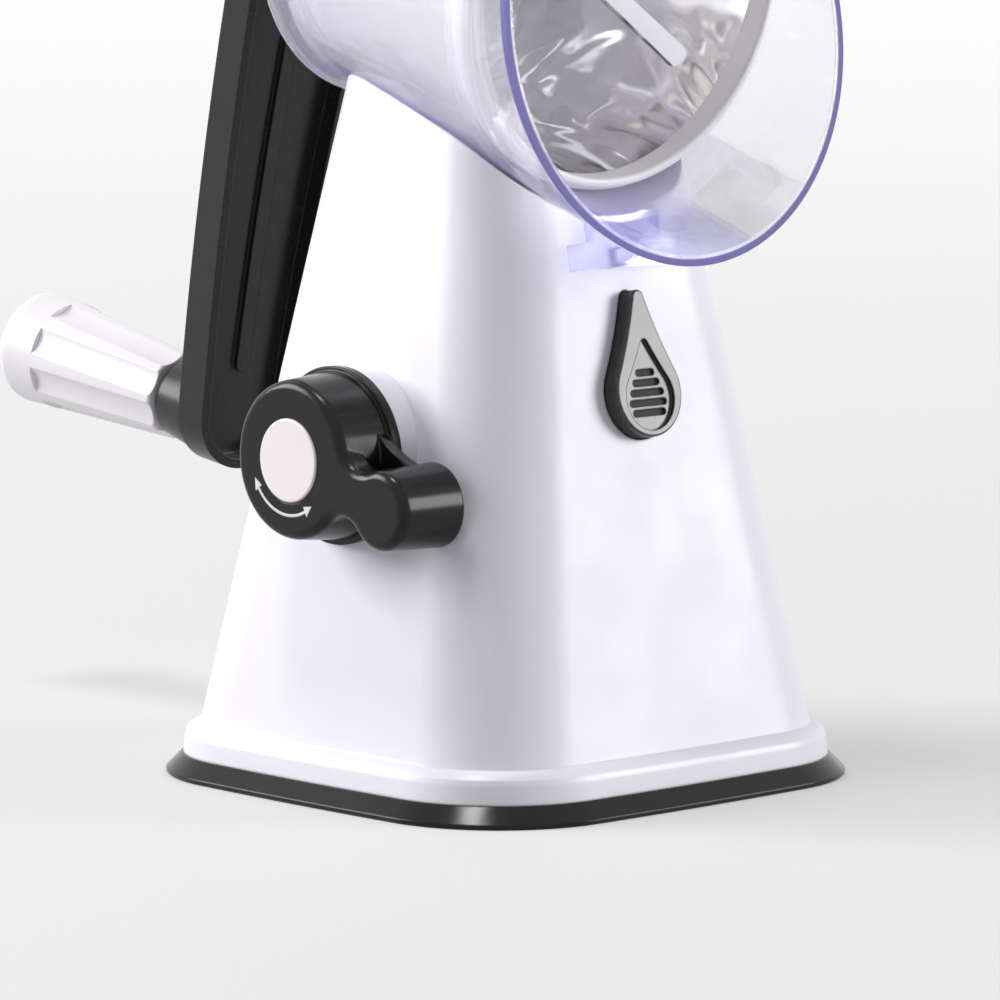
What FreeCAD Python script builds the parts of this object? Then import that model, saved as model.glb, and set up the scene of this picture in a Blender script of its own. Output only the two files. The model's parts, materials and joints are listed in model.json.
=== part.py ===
import FreeCAD, Part
import math
import os

from FreeCAD import Placement, Rotation, Vector

# Rotary cabbage shredder on a suction base, in millimetres.
# +Z is up, the drum's mouth faces -Y, the lock knob is on the -X side and the
# crank is behind, at +Y. The origin is the centre of the cup's underside.

# Base pad and tower
PAD_HALF = 70.0
PAD_TOP_HALF = 66.3
PAD_HEIGHT = 5.0
PAD_LIP = 1.2
PAD_CHAMFER = 0.4
PAD_BOSS_WALL = 4.0
PAD_BOSS_GAP = 1.6
PAD_CORNER = 35.5
PAD_GROOVE_RADII = (34.0, 50.0)
PAD_GROOVE_WIDTH = 2.4
PAD_GROOVE_DEPTH = 0.9
SIDE_RADIUS_RATIO = 14.0
COLLAR_HALF = 66.0
COLLAR_CORNER = 32.0
COLLAR_SHOULDER_Z = 9.6
COLLAR_TOP_Z = 12.8
SHOULDER_STEPS = 4
SHOULDER_TUCK = 0.8
SHOULDER_SETBACK = 0.5
TOWER_FOOT_HALF = 61.5
TOWER_FOOT_CORNER = 27.0
TOWER_TOP_HALF = 32.5
TOWER_TOP_CORNER = 18.0
TOWER_TOP_Z = 170.0
TOWER_WALL = 2.6
TOWER_SPARE = 14.0
WALL_CUT = 8.0
CRADLE_THICKNESS = 2.4
CRADLE_GAP = 0.5
CRADLE_FRONT_GAP = 1.0

# Axis of the drum, barrel and crank, above the tower's top
AXIS_RISE = 31.3
AXIS_HEIGHT = TOWER_TOP_Z + AXIS_RISE
AXIS_TILT = 9.0

# Clear barrel, measured along the axis: S is forward of the tower's middle
BARREL_BACK_S = -42.0
BARREL_FRONT_S = 36.0
BARREL_MID_RADIUS = 47.2
BARREL_SLOPE = 0.17
BARREL_WALL = 2.2
BACK_WALL = 2.6
BACK_ROUND = 2.6
INNER_ROUND = 1.0
BACK_LIP_FADE = 1.5
BACK_LIP_RADIUS = 43.6
BACK_LIP_LENGTH = 5.0
BACK_BOSS_RADIUS = 13.0
BACK_BOSS_LENGTH = 10.0
RIM_CENTRE_S = 61.5
RIM_CENTRE_UP = -8.0
RIM_RADIUS = 55.6
RIM_LEAN = 16.7
RIM_TOP_REACH = 64.5
RIM_WALL = 2.6
RAIL_ANGLES = (-128.0, -52.0)
RAIL_WIDTH = 6.0
RAIL_REACH = 12.0
RAIL_BACK_S = 4.0
RAIL_FRONT_S = 38.0

# Tongue that hooks the housing on the tower's front
TONGUE_THICKNESS = 3.0
TONGUE_GAP = 0.3
TONGUE_NECK_HALF = 11.0
TONGUE_FOOT_HALF = 17.5
TONGUE_FOOT_DROP = 43.4
TONGUE_FOOT_HEIGHT = 6.2
TONGUE_FOOT_LOW_Z = TOWER_TOP_Z - TONGUE_FOOT_DROP
TONGUE_FOOT_TOP_Z = TONGUE_FOOT_LOW_Z + TONGUE_FOOT_HEIGHT
CHANNEL_HALF = 3.2

# Feed chute and pusher
CHUTE_WIDTH = 62.0
CHUTE_DEPTH = 56.0
CHUTE_CORNER = 12.0
CHUTE_WALL = 2.2
CHUTE_CENTRE_Y = -7.0
CHUTE_RISE = 90.7
CHUTE_TOP_Z = AXIS_HEIGHT + CHUTE_RISE
CHUTE_LIP = 4.0
CHUTE_LIP_HEIGHT = 2.6
PUSHER_GAP = 0.7
PUSHER_WALL = 2.2
PUSHER_THROAT = 7.5
PUSHER_CUP = 28.0
PUSHER_CAP_HEIGHT = 5.0
PUSHER_GRIP_HEIGHT = 16.0
PUSHER_GRIP_WIDTH = 34.0
PUSHER_GRIP_DEPTH = 15.0
PUSHER_GRIP_CORNER = 6.8
PUSHER_GRIP_ROUND = 2.5
PUSHER_PLATE_ROUND = 2.0

# Slicing drum
SHEET = 0.7
DRUM_FRONT_S = 38.0
DRUM_BACK_S = -32.0
DRUM_FRONT_RADIUS = 48.2
DRUM_SLOPE = 0.16
SLOT_COUNT = 4
SLOT_PHASE = 18.9
SLOT_FRONT_S = 26.0
SLOT_BACK_S = -26.0
SLOT_WIDTH = 5.6
SLOT_SKEW = 21.5
BLADE_HEIGHT = 1.5
BLADE_WIDTH = 5.0
BLADE_STATIONS = 7
BLADE_OVERLAP = 0.5
BLADE_MARGIN = 3.0
BLADE_FADE = 0.08
RING_BACK_S = 35.0
RING_FRONT_S = 44.7
RING_RADIUS = 50.5
RING_BORE = 47.3
RING_SLEEVE = 49.3
RING_STEP_S = 36.7
RING_ROUND = 0.9
RING_GROOVE_S = 2.4
HUB_GAP = 0.4
HUB_DISC = 3.0
HUB_LAP = 5.0
HUB_RIM = 2.4
HUB_SOCKET_END = 1.5
HUB_BOSS_RADIUS = 12.5
HUB_BOSS_FRONT_S = -24.0
HUB_WINDOW_COUNT = 6
HUB_WINDOW_RADIUS = 6.5
HUB_WINDOW_CIRCLE = 23.5
RIVET_COUNT = 3
RIVET_RADIUS = 1.6
RIVET_HEAD = 0.7

# Drive shaft and its bush
SHAFT_RADIUS = 7.0
RUNNING_FIT = 0.06
HEX_FLATS = 12.0
HEX_GAP = 0.15
SHAFT_FLANGE_RADIUS = 10.5
SHAFT_FLANGE = 1.8
BUSH_WALL = 2.0
BUSH_FLANGE = 1.4
SQUARE_FLATS = 9.0
SQUARE_GAP = 0.06

# Crank
CRANK_RADIUS = 136.2
ARM_PIN_DROP = 2.2
ARM_THICKNESS = 9.5
ARM_HUB_RADIUS = 21.0
ARM_END_RADIUS = 15.0
ARM_HUB_S = -70.5
ARM_MID_S = -81.5
ARM_END_S = -86.0
ARM_MID_UP = -60.0
ARM_LIP = 2.6
ARM_RECESS = 5.0
ARM_RIB = 4.2
ARM_RIB_HEIGHT = 1.4
ARM_RIB_STOP = 14.0
ARM_GAP = 0.6
ARM_BOSS_RADIUS = 12.5
ARM_COUNTERBORE_RADIUS = 9.0
ARM_COUNTERBORE = 3.4
ARM_SCREW_HEAD = 1.8
ARM_SCREW_LENGTH = 15.4
ARM_CAP_PROUD = 1.0
ARM_CAP_ROUND = 0.8
FERRULE_RADIUS = 11.7
FERRULE_LENGTH = 15.7
FERRULE_NECK = 1.6
FERRULE_FLARE = 3.4
FERRULE_ROUND = 2.4
AXLE_RADIUS = 4.0
AXLE_HEAD_RADIUS = 6.5
AXLE_HEAD = 3.0
AXLE_SET = 3.4
AXLE_WELL = 4.0
GRIP_GAP = 0.4
GRIP_LENGTH = 60.3
GRIP_NEAR_RADIUS = 11.3
GRIP_FAR_RADIUS = 15.2
GRIP_NEAR_ROUND = 0.8
GRIP_END_ROUND = 5.0
GRIP_RECESS_RADIUS = 8.0
FLUTE_COUNT = 8
FLUTE_PHASE = 0.5
FLUTE_RADIUS = 9.0
FLUTE_DEPTH = 1.2
FLUTE_FAR_MARGIN = 15.7
PLUG_DEPTH = 3.0

# Lock knob and cup lift
KNOB_Z = 82.5
KNOB_FACE_X = -70.3
KNOB_BACK_X = -53.4
KNOB_RADIUS = 19.0
KNOB_BACK_RADIUS = 20.4
KNOB_EDGE = 2.2
KNOB_FLANGE_RADIUS = 21.4
KNOB_FLANGE = 2.4
KNOB_BOSS_RADIUS = 20.6
KNOB_BOSS_DEPTH = 8.0
KNOB_GAP = 0.4
BUSH_OVERHANG = 4.0
KNOB_SCREW_LENGTH = 10.0
CAM_COLLAR = 2.0
WEB_INSET = 0.3
WEB_HOLLOW = 28.8
LEVER_DROP = 16.7
LEVER_LENGTH = 32.3
LEVER_END_RADIUS = 9.5
LEVER_DRAFT = 0.6
LEVER_BACK_X = -51.8
NECK_HOLLOW = 7.2
NECK_DEPTH = 6.5
NECK_WEB = 3.0
KNOB_CAP_RADIUS = 10.0
KNOB_CAP_DEPTH = 1.4
KNOB_CAP_PROUD = 0.5
KNOB_WELL = 5.6
KNOB_WEB = 1.8
CAM_SHAFT_RADIUS = 4.0
CAM_THROW = 2.31
CAM_START = 60.0
CAM_PIN_RADIUS = 2.5
CAM_WEB_RADIUS = 6.5
CAM_WEB_INNER_X = 3.0
CAM_WEB_OUTER_X = 6.0
CAM_END_X = 15.0
STEM_RADIUS = 5.0
STEM_FOOT_RADIUS = 9.0
STEM_FOOT = 2.2
STEM_FLOOR = 2.3
SLIDE_GAP = 0.3
YOKE_HALF_WIDTH = 8.0
YOKE_MARGIN = 3.2
YOKE_NECK = 6.0
YOKE_GAP = 0.35

# Inner base frame
FRAME_HALF = 58.6
FRAME_PLATE = 3.6
FRAME_RIB = 2.4
FRAME_RIB_HEIGHT = 7.0
FRAME_RIB_REACH = 40.0
FRAME_HUB_RADIUS = 18.0
FRAME_HUB_TOP = 13.0
FRAME_RECESS_RADIUS = 15.0
FRAME_RECESS_TOP = 9.8
FRAME_TUBE_RADIUS = 9.0
FRAME_TUBE_TOP = 34.0
UPRIGHT_INNER_X = 9.0
UPRIGHT_OUTER_X = 13.0
UPRIGHT_HALF = 9.0
SCREW_PLACE = 43.0
SCREW_RADIUS = 2.0
SCREW_HEAD_RADIUS = 3.8
SCREW_HEAD = 1.8
SCREW_GAP = 0.3
SCREW_TOP = 22.0
POST_RADIUS = 4.6
POST_TOP = 64.0

# Release button on the tower's front
BUTTON_DROP = 29.9
BUTTON_Z = TONGUE_FOOT_LOW_Z - BUTTON_DROP
BUTTON_RADIUS = 10.6
BUTTON_TIP_RADIUS = 1.95
BUTTON_TIP_UP = 22.75
BUTTON_HOLLOW = 110.0
BUTTON_PROUD = 4.4
BUTTON_EDGE = 0.5
BUTTON_GAP = 0.35
BUTTON_FLANGE = 1.6
BUTTON_FLANGE_REACH = 1.6
BUTTON_INSET_RADIUS = 7.9
BUTTON_INSET_TIP_RADIUS = 1.2
BUTTON_INSET_TIP_UP = 12.8
BUTTON_INSET_DROP = 1.15
BUTTON_INSET_DEPTH = 1.0
BUTTON_SLOT_PITCH = 2.4
BUTTON_SLOT_HEIGHT = 1.6
BUTTON_SLOT_DEPTH = 0.8
BUTTON_SLOT_WIDTHS = (10.8, 12.2, 11.0, 8.8, 6.1)
BUTTON_SLOT_LOW = -4.75
LATCH_HALF = 4.0
LATCH_THICKNESS = 2.0
LATCH_LAP = 3.0
LATCH_NOSE_HALF = 2.6
LATCH_NOSE_RISE = 0.8
LATCH_NOSE_HEIGHT = 3.6
LATCH_NOSE_LOW_Z = TONGUE_FOOT_LOW_Z + LATCH_NOSE_RISE
LATCH_NOSE_TOP_Z = LATCH_NOSE_LOW_Z + LATCH_NOSE_HEIGHT
LATCH_NOSE_REACH = 1.6
GUIDE_HALF = 16.5
GUIDE_PLATE = 2.0
GUIDE_DEPTH = 15.0
GUIDE_SEAT = 0.45
GUIDE_HEIGHT_HALF = 9.0
GUIDE_TOP = 6.0
GUIDE_FOOT_HALF = 4.0
SPRING_COIL_RADIUS = 3.3
SPRING_WIRE_RADIUS = 0.45
SPRING_TURNS = 5
SPRING_WELL = 4.0
SPRING_PEG = 3.0
SPRING_GAP = 0.4

# Allowances for cutters, fused joints and fits
OVERRUN = 1.0
SINK = 0.5
NEAR = 0.1
PRESS_GAP = 0.02
PILOT_GAP = 0.05

X_AXIS = Vector(1, 0, 0)
Y_AXIS = Vector(0, 1, 0)
Z_AXIS = Vector(0, 0, 1)
ORIGIN = Vector(0, 0, 0)
HEAD = Placement(Vector(0, 0, AXIS_HEIGHT), Rotation(X_AXIS, AXIS_TILT))
TAPER = (TOWER_FOOT_HALF - TOWER_TOP_HALF) / (TOWER_TOP_Z - COLLAR_TOP_Z)
FACE_LEAN = math.degrees(math.atan(TAPER))


def save(name, shape):
    shape.exportStep("parts/" + name + ".step")


def fuse_all(shapes):
    return shapes[0].multiFuse(shapes[1:]).removeSplitter()


def placed(shape, placement):
    moved = shape.copy()
    moved.Placement = placement.multiply(moved.Placement)
    return moved


def rounded_wire(corners, point):
    """Closed outline through (u, v, radius) corners, mapped by point(u, v)."""
    edges = []
    ends = []
    count = len(corners)
    for i in range(count):
        u, v, radius = corners[i]
        before = corners[i - 1]
        after = corners[(i + 1) % count]
        if radius == 0:
            ends.append(((u, v), (u, v), None))
            continue
        inward = (before[0] - u, before[1] - v)
        outward = (after[0] - u, after[1] - v)
        size_in = math.hypot(*inward)
        size_out = math.hypot(*outward)
        inward = (inward[0] / size_in, inward[1] / size_in)
        outward = (outward[0] / size_out, outward[1] / size_out)
        half = math.acos(inward[0] * outward[0] + inward[1] * outward[1]) / 2
        reach = radius / math.tan(half)
        middle = (inward[0] + outward[0], inward[1] + outward[1])
        length = math.hypot(*middle)
        depth = radius / math.sin(half) - radius
        ends.append((
            (u + inward[0] * reach, v + inward[1] * reach),
            (u + outward[0] * reach, v + outward[1] * reach),
            (u + middle[0] / length * depth, v + middle[1] / length * depth),
        ))
    for i in range(count):
        start, end, middle = ends[i]
        if middle is not None:
            edges.append(Part.Arc(point(*start), point(*middle), point(*end)).toShape())
        after = ends[(i + 1) % count][0]
        if math.hypot(after[0] - end[0], after[1] - end[1]) > 1e-6:
            edges.append(Part.makeLine(point(*end), point(*after)))
    return Part.Wire(edges)


def turned(corners):
    """Body of revolution about the head's axis from (s, radius, fillet) corners."""
    wire = rounded_wire(corners, lambda s, r: Vector(0, -s, r))
    return Part.Face(wire).revolve(ORIGIN, Y_AXIS, 360)


def stadium(length, width, point):
    """Face of a slot with round ends, mapped by point(along, across)."""
    half = (length - width) / 2
    wide = width / 2
    edges = [
        Part.makeLine(point(-half, wide), point(half, wide)),
        Part.Arc(point(half, wide), point(half + wide, 0), point(half, -wide)).toShape(),
        Part.makeLine(point(half, -wide), point(-half, -wide)),
        Part.Arc(point(-half, -wide), point(-half - wide, 0), point(-half, wide)).toShape(),
    ]
    return Part.Face(Part.Wire(edges))


def rod(radius, back_s, front_s, up=0.0):
    return Part.makeCylinder(radius, front_s - back_s, Vector(0, -front_s, up), Y_AXIS)


def rod_x(radius, low_x, high_x, y=0.0, z=0.0):
    return Part.makeCylinder(radius, high_x - low_x, Vector(low_x, y, z), X_AXIS)


def rod_z(radius, low_z, high_z, x=0.0, y=0.0):
    return Part.makeCylinder(radius, high_z - low_z, Vector(x, y, low_z))


def block(low, high):
    size = high.sub(low)
    return Part.makeBox(size.x, size.y, size.z, low)


def crowned_square(half, corner, z):
    """Square outline with rounded corners and sides that bow out a little."""
    side = half * SIDE_RADIUS_RATIO
    turn = math.acos((side - half) / (side - corner) / math.sqrt(2)) - math.pi / 4
    edges = []
    for k in range(4):
        base = k * math.pi / 2
        centre = Vector(half - side, 0, z)
        hub = (side - corner) * math.sin(turn)
        knee = Vector(hub, hub, z)
        arcs = ((centre, side, -turn, turn), (knee, corner, turn, math.pi / 2 - turn))
        for middle, radius, first, last in arcs:
            points = []
            for angle in (first, (first + last) / 2, last):
                x = middle.x + radius * math.cos(angle)
                y = middle.y + radius * math.sin(angle)
                points.append(Vector(x * math.cos(base) - y * math.sin(base),
                                     x * math.sin(base) + y * math.cos(base), z))
            edges.append(Part.Arc(*points).toShape())
    return Part.Wire(edges)


def tower_half(z):
    return TOWER_FOOT_HALF - TAPER * (z - COLLAR_TOP_Z)


def tower_corner(z):
    share = (z - COLLAR_TOP_Z) / (TOWER_TOP_Z - COLLAR_TOP_Z)
    return TOWER_FOOT_CORNER + (TOWER_TOP_CORNER - TOWER_FOOT_CORNER) * share


def tower_loft(inset, low_z, high_z):
    wires = [crowned_square(tower_half(z) - inset, tower_corner(z) - inset, z)
             for z in (low_z, high_z)]
    return Part.makeLoft(wires, True, True)


def barrel_radius(s):
    return BARREL_MID_RADIUS + BARREL_SLOPE * s


def drum_radius(s):
    return DRUM_FRONT_RADIUS + DRUM_SLOPE * (s - DRUM_FRONT_S)


def cradle_space(extra):
    """Space that the barrel and its flare need above the tower."""
    back_s = 2 * BARREL_BACK_S
    knee_s = RAIL_BACK_S
    front_s = 2 * BARREL_FRONT_S + RIM_WALL
    rise = (CRADLE_FRONT_GAP - CRADLE_GAP) / (RIM_CENTRE_S - knee_s)
    points = [
        (back_s, 0, 0),
        (back_s, barrel_radius(back_s) + CRADLE_GAP + extra, 0),
        (knee_s, barrel_radius(knee_s) + CRADLE_GAP + extra, 0),
        (front_s, barrel_radius(front_s) + CRADLE_GAP + rise * (front_s - knee_s) + extra, 0),
        (front_s, 0, 0),
    ]
    return placed(turned(points), HEAD)


def front_frame(z):
    """Placement with -Y standing out of the tower's front face at height z."""
    return Placement(Vector(0, -tower_half(z), z), Rotation(X_AXIS, -FACE_LEAN))


def up_face(z, from_z):
    """Distance up the sloping front face between two heights."""
    return (z - from_z) / math.cos(math.radians(FACE_LEAN))


def drop_face(bulb, tip, length, hollow, at):
    """Face of a big and a small disc joined by hollow sides, mapped by at(x, up)."""
    far = hollow + bulb
    near = hollow + tip
    rise = (far * far - near * near + length ** 2) / (2 * length)
    across = math.sqrt(far * far - rise * rise)
    lower = (across * bulb / far, rise * bulb / far)
    upper = (across * tip / near, length + (rise - length) * tip / near)
    lean = math.atan2(lower[1] - rise, lower[0] - across)
    lean_top = math.atan2(upper[1] - rise, upper[0] - across)
    turn = (lean + lean_top) / 2
    if abs(lean - lean_top) > math.pi:
        turn += math.pi
    middle = (across + hollow * math.cos(turn), rise + hollow * math.sin(turn))
    return Part.Face(Part.Wire([
        Part.Arc(at(-lower[0], lower[1]), at(0, -bulb), at(*lower)).toShape(),
        Part.Arc(at(*lower), at(*middle), at(*upper)).toShape(),
        Part.Arc(at(*upper), at(0, length + tip), at(-upper[0], upper[1])).toShape(),
        Part.Arc(at(-upper[0], upper[1]), at(-middle[0], middle[1]),
                 at(-lower[0], lower[1])).toShape(),
    ]))


def teardrop(bulb, tip, tip_up, low_n, high_n, drop=0.0):
    """Teardrop prism on the front face, between two depths out of the face."""
    face = drop_face(bulb, tip, tip_up, BUTTON_HOLLOW,
                     lambda x, up: Vector(x, -low_n, up - drop))
    return face.extrude(Vector(0, low_n - high_n, 0))


def button_outline(grow, low_n, high_n):
    return teardrop(BUTTON_RADIUS + grow, BUTTON_TIP_RADIUS + grow, BUTTON_TIP_UP,
                    low_n, high_n)


def slab(half_x, low_up, high_up, low_n, high_n):
    """Block on the front face: across, up the face, and out of it."""
    return block(Vector(-half_x, -high_n, low_up), Vector(half_x, -low_n, high_up))


def front_place():
    return front_frame(BUTTON_Z)


def tower_shell():
    outer = tower_loft(0.0, COLLAR_SHOULDER_Z - SHOULDER_TUCK, TOWER_TOP_Z + TOWER_SPARE)
    foot_half = TOWER_FOOT_HALF - SHOULDER_TUCK
    foot_corner = TOWER_FOOT_CORNER - SHOULDER_TUCK
    wires = [crowned_square(COLLAR_HALF, COLLAR_CORNER, PAD_HEIGHT)]
    for k in range(SHOULDER_STEPS + 1):
        turn = math.pi / 2 * k / SHOULDER_STEPS
        share = math.cos(turn)
        half = foot_half + (COLLAR_HALF - SHOULDER_SETBACK - foot_half) * share
        corner = foot_corner + (COLLAR_CORNER - SHOULDER_SETBACK - foot_corner) * share
        z = COLLAR_SHOULDER_Z + (COLLAR_TOP_Z - COLLAR_SHOULDER_Z) * math.sin(turn)
        wires.append(crowned_square(half, corner, z))
    collar = Part.makeLoft(wires, True, True)
    boss = rod_x(KNOB_BOSS_RADIUS, KNOB_BACK_X + KNOB_GAP,
                 -tower_half(KNOB_Z) + KNOB_BOSS_DEPTH, 0, KNOB_Z)
    body = outer.fuse([collar, boss])
    cavity = tower_loft(TOWER_WALL, PAD_HEIGHT - OVERRUN, TOWER_TOP_Z + TOWER_SPARE)
    cavity = cavity.cut(cradle_space(CRADLE_THICKNESS))
    body = body.cut(cavity)
    posts = []
    for x in (-SCREW_PLACE, SCREW_PLACE):
        for y in (-SCREW_PLACE, SCREW_PLACE):
            post = rod_z(POST_RADIUS, PAD_HEIGHT + FRAME_PLATE, POST_TOP, x, y)
            pilot = rod_z(SCREW_RADIUS + PILOT_GAP, PAD_HEIGHT, SCREW_TOP + OVERRUN, x, y)
            posts.append(post.cut(pilot).common(tower_loft(SINK, PAD_HEIGHT, TOWER_TOP_Z)))
    body = body.fuse(posts)
    body = body.cut(cradle_space(0.0))
    bush_hole = rod_x(CAM_SHAFT_RADIUS + BUSH_WALL, KNOB_BACK_X - OVERRUN, -TOWER_TOP_HALF,
                      0, KNOB_Z)
    button_hole = placed(button_outline(BUTTON_GAP, -WALL_CUT, WALL_CUT), front_place())
    nose_low = up_face(LATCH_NOSE_LOW_Z, BUTTON_Z) - BUTTON_GAP
    nose_top = up_face(LATCH_NOSE_TOP_Z, BUTTON_Z) + BUTTON_GAP
    window = placed(slab(LATCH_NOSE_HALF + BUTTON_GAP, nose_low, nose_top, -WALL_CUT, WALL_CUT),
                    front_place())
    return body.cut([bush_hole, button_hole, window]).removeSplitter()


def suction_cup():
    wires = [
        crowned_square(PAD_HALF - PAD_CHAMFER, PAD_CORNER - PAD_CHAMFER, 0.0),
        crowned_square(PAD_HALF, PAD_CORNER, PAD_CHAMFER),
        crowned_square(PAD_HALF, PAD_CORNER, PAD_LIP),
        crowned_square(PAD_TOP_HALF, COLLAR_CORNER, PAD_HEIGHT),
    ]
    pad = Part.makeLoft(wires, True, True)
    boss = rod_z(STEM_FOOT_RADIUS + PAD_BOSS_WALL, PAD_HEIGHT - OVERRUN,
                 FRAME_RECESS_TOP - PAD_BOSS_GAP)
    pad = pad.fuse(boss)
    socket = rod_z(STEM_FOOT_RADIUS + SLIDE_GAP, STEM_FLOOR, FRAME_RECESS_TOP)
    grooves = []
    for radius in PAD_GROOVE_RADII:
        ring = rod_z(radius + PAD_GROOVE_WIDTH, -NEAR, PAD_GROOVE_DEPTH)
        grooves.append(ring.cut(rod_z(radius, -NEAR, PAD_GROOVE_DEPTH)))
    return pad.cut([socket] + grooves).removeSplitter()


def base_frame():
    plate_top = PAD_HEIGHT + FRAME_PLATE
    corner = TOWER_FOOT_CORNER - TOWER_WALL
    plate = Part.Face(crowned_square(FRAME_HALF, corner, PAD_HEIGHT))
    plate = plate.extrude(Vector(0, 0, FRAME_PLATE))
    upright_top = KNOB_Z + UPRIGHT_HALF
    pieces = [plate, rod_z(FRAME_HUB_RADIUS, PAD_HEIGHT, FRAME_HUB_TOP),
              rod_z(FRAME_TUBE_RADIUS, PAD_HEIGHT, FRAME_TUBE_TOP)]
    for side in (-1, 1):
        low_x, high_x = sorted((side * UPRIGHT_INNER_X, side * UPRIGHT_OUTER_X))
        wall = block(Vector(low_x, -UPRIGHT_HALF, plate_top),
                     Vector(high_x, UPRIGHT_HALF, KNOB_Z))
        head = rod_x(UPRIGHT_HALF, low_x, high_x, 0, KNOB_Z)
        reach = side * FRAME_RIB_REACH
        foot = block(Vector(min(low_x, reach), -FRAME_RIB / 2, plate_top - SINK),
                     Vector(max(high_x, reach), FRAME_RIB / 2, plate_top + FRAME_RIB_HEIGHT))
        pieces += [wall, head, foot]
    for side in (-1, 1):
        low_y, high_y = sorted((side * UPRIGHT_HALF, side * FRAME_RIB_REACH))
        pieces.append(block(Vector(-FRAME_RIB / 2, low_y, plate_top - SINK),
                            Vector(FRAME_RIB / 2, high_y, plate_top + FRAME_RIB_HEIGHT)))
    body = fuse_all(pieces)
    cuts = [rod_z(FRAME_RECESS_RADIUS, PAD_HEIGHT - OVERRUN, FRAME_RECESS_TOP),
            rod_z(STEM_RADIUS + SLIDE_GAP, PAD_HEIGHT, FRAME_TUBE_TOP + OVERRUN),
            rod_x(CAM_SHAFT_RADIUS + RUNNING_FIT, -UPRIGHT_OUTER_X - OVERRUN,
                  UPRIGHT_OUTER_X + OVERRUN, 0, KNOB_Z)]
    for x in (-SCREW_PLACE, SCREW_PLACE):
        for y in (-SCREW_PLACE, SCREW_PLACE):
            cuts.append(rod_z(SCREW_RADIUS + SCREW_GAP, PAD_HEIGHT - OVERRUN,
                              plate_top + OVERRUN, x, y))
            cuts.append(rod_z(SCREW_HEAD_RADIUS + SCREW_GAP, PAD_HEIGHT - OVERRUN,
                              PAD_HEIGHT + SCREW_HEAD, x, y))
    return body.cut(cuts).removeSplitter()


def base_screws():
    screws = []
    for x in (-SCREW_PLACE, SCREW_PLACE):
        for y in (-SCREW_PLACE, SCREW_PLACE):
            head = rod_z(SCREW_HEAD_RADIUS, PAD_HEIGHT, PAD_HEIGHT + SCREW_HEAD, x, y)
            shank = rod_z(SCREW_RADIUS, PAD_HEIGHT, SCREW_TOP, x, y)
            screws.append(head.fuse(shank).removeSplitter())
    return Part.makeCompound(screws)


def wall_bush():
    low_x = KNOB_BACK_X + KNOB_GAP
    high_x = -tower_half(KNOB_Z) + TOWER_WALL + BUSH_OVERHANG
    body = rod_x(CAM_SHAFT_RADIUS + BUSH_WALL - PRESS_GAP, low_x, high_x, 0, KNOB_Z)
    return body.cut(rod_x(CAM_SHAFT_RADIUS + RUNNING_FIT, low_x - OVERRUN, high_x + OVERRUN,
                          0, KNOB_Z))


def cam_pin_place():
    turn = math.radians(CAM_START)
    return -CAM_THROW * math.cos(turn), KNOB_Z - CAM_THROW * math.sin(turn)


def cam_shaft():
    pin_y, pin_z = cam_pin_place()
    knob_end = web_x() + 2 * NEAR
    collar_x = -tower_half(KNOB_Z) + TOWER_WALL + BUSH_OVERHANG + KNOB_GAP
    pieces = [
        rod_x(CAM_SHAFT_RADIUS, knob_end, -CAM_WEB_INNER_X, 0, KNOB_Z),
        rod_x(CAM_SHAFT_RADIUS + CAM_COLLAR, collar_x, collar_x + CAM_COLLAR, 0, KNOB_Z),
        rod_x(CAM_WEB_RADIUS, -CAM_WEB_OUTER_X, -CAM_WEB_INNER_X, 0, KNOB_Z),
        rod_x(CAM_PIN_RADIUS, -CAM_WEB_INNER_X - SINK, CAM_WEB_INNER_X + SINK, pin_y, pin_z),
        rod_x(CAM_WEB_RADIUS, CAM_WEB_INNER_X, CAM_WEB_OUTER_X, 0, KNOB_Z),
        rod_x(CAM_SHAFT_RADIUS, CAM_WEB_INNER_X, CAM_END_X, 0, KNOB_Z),
    ]
    pilot = rod_x(SCREW_RADIUS + PILOT_GAP, knob_end - OVERRUN, knob_end + KNOB_SCREW_LENGTH,
                  0, KNOB_Z)
    return fuse_all(pieces).cut(pilot)


def cup_stem():
    pin_z = cam_pin_place()[1]
    slot_half = CAM_PIN_RADIUS + YOKE_GAP
    yoke_half = CAM_WEB_INNER_X - SLIDE_GAP
    low_z = pin_z - slot_half - YOKE_MARGIN
    high_z = pin_z + slot_half + YOKE_MARGIN
    foot = rod_z(STEM_FOOT_RADIUS, STEM_FLOOR, STEM_FLOOR + STEM_FOOT)
    stem = rod_z(STEM_RADIUS, STEM_FLOOR, low_z - YOKE_NECK / 2)
    yoke = block(Vector(-yoke_half, -YOKE_HALF_WIDTH, low_z - YOKE_NECK),
                 Vector(yoke_half, YOKE_HALF_WIDTH, high_z))
    reach = CAM_THROW + CAM_PIN_RADIUS + SLIDE_GAP
    slot = block(Vector(-yoke_half - OVERRUN, -reach, pin_z - slot_half),
                 Vector(yoke_half + OVERRUN, reach, pin_z + slot_half))
    return fuse_all([foot, stem, yoke]).cut(slot)


def knob_place():
    return Placement(Vector(0, 0, KNOB_Z), Rotation(X_AXIS, LEVER_DROP))


def web_x():
    """Inner face of the knob's web, where the shaft's end stops."""
    return KNOB_FACE_X + KNOB_CAP_DEPTH + KNOB_WELL + KNOB_WEB


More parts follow.
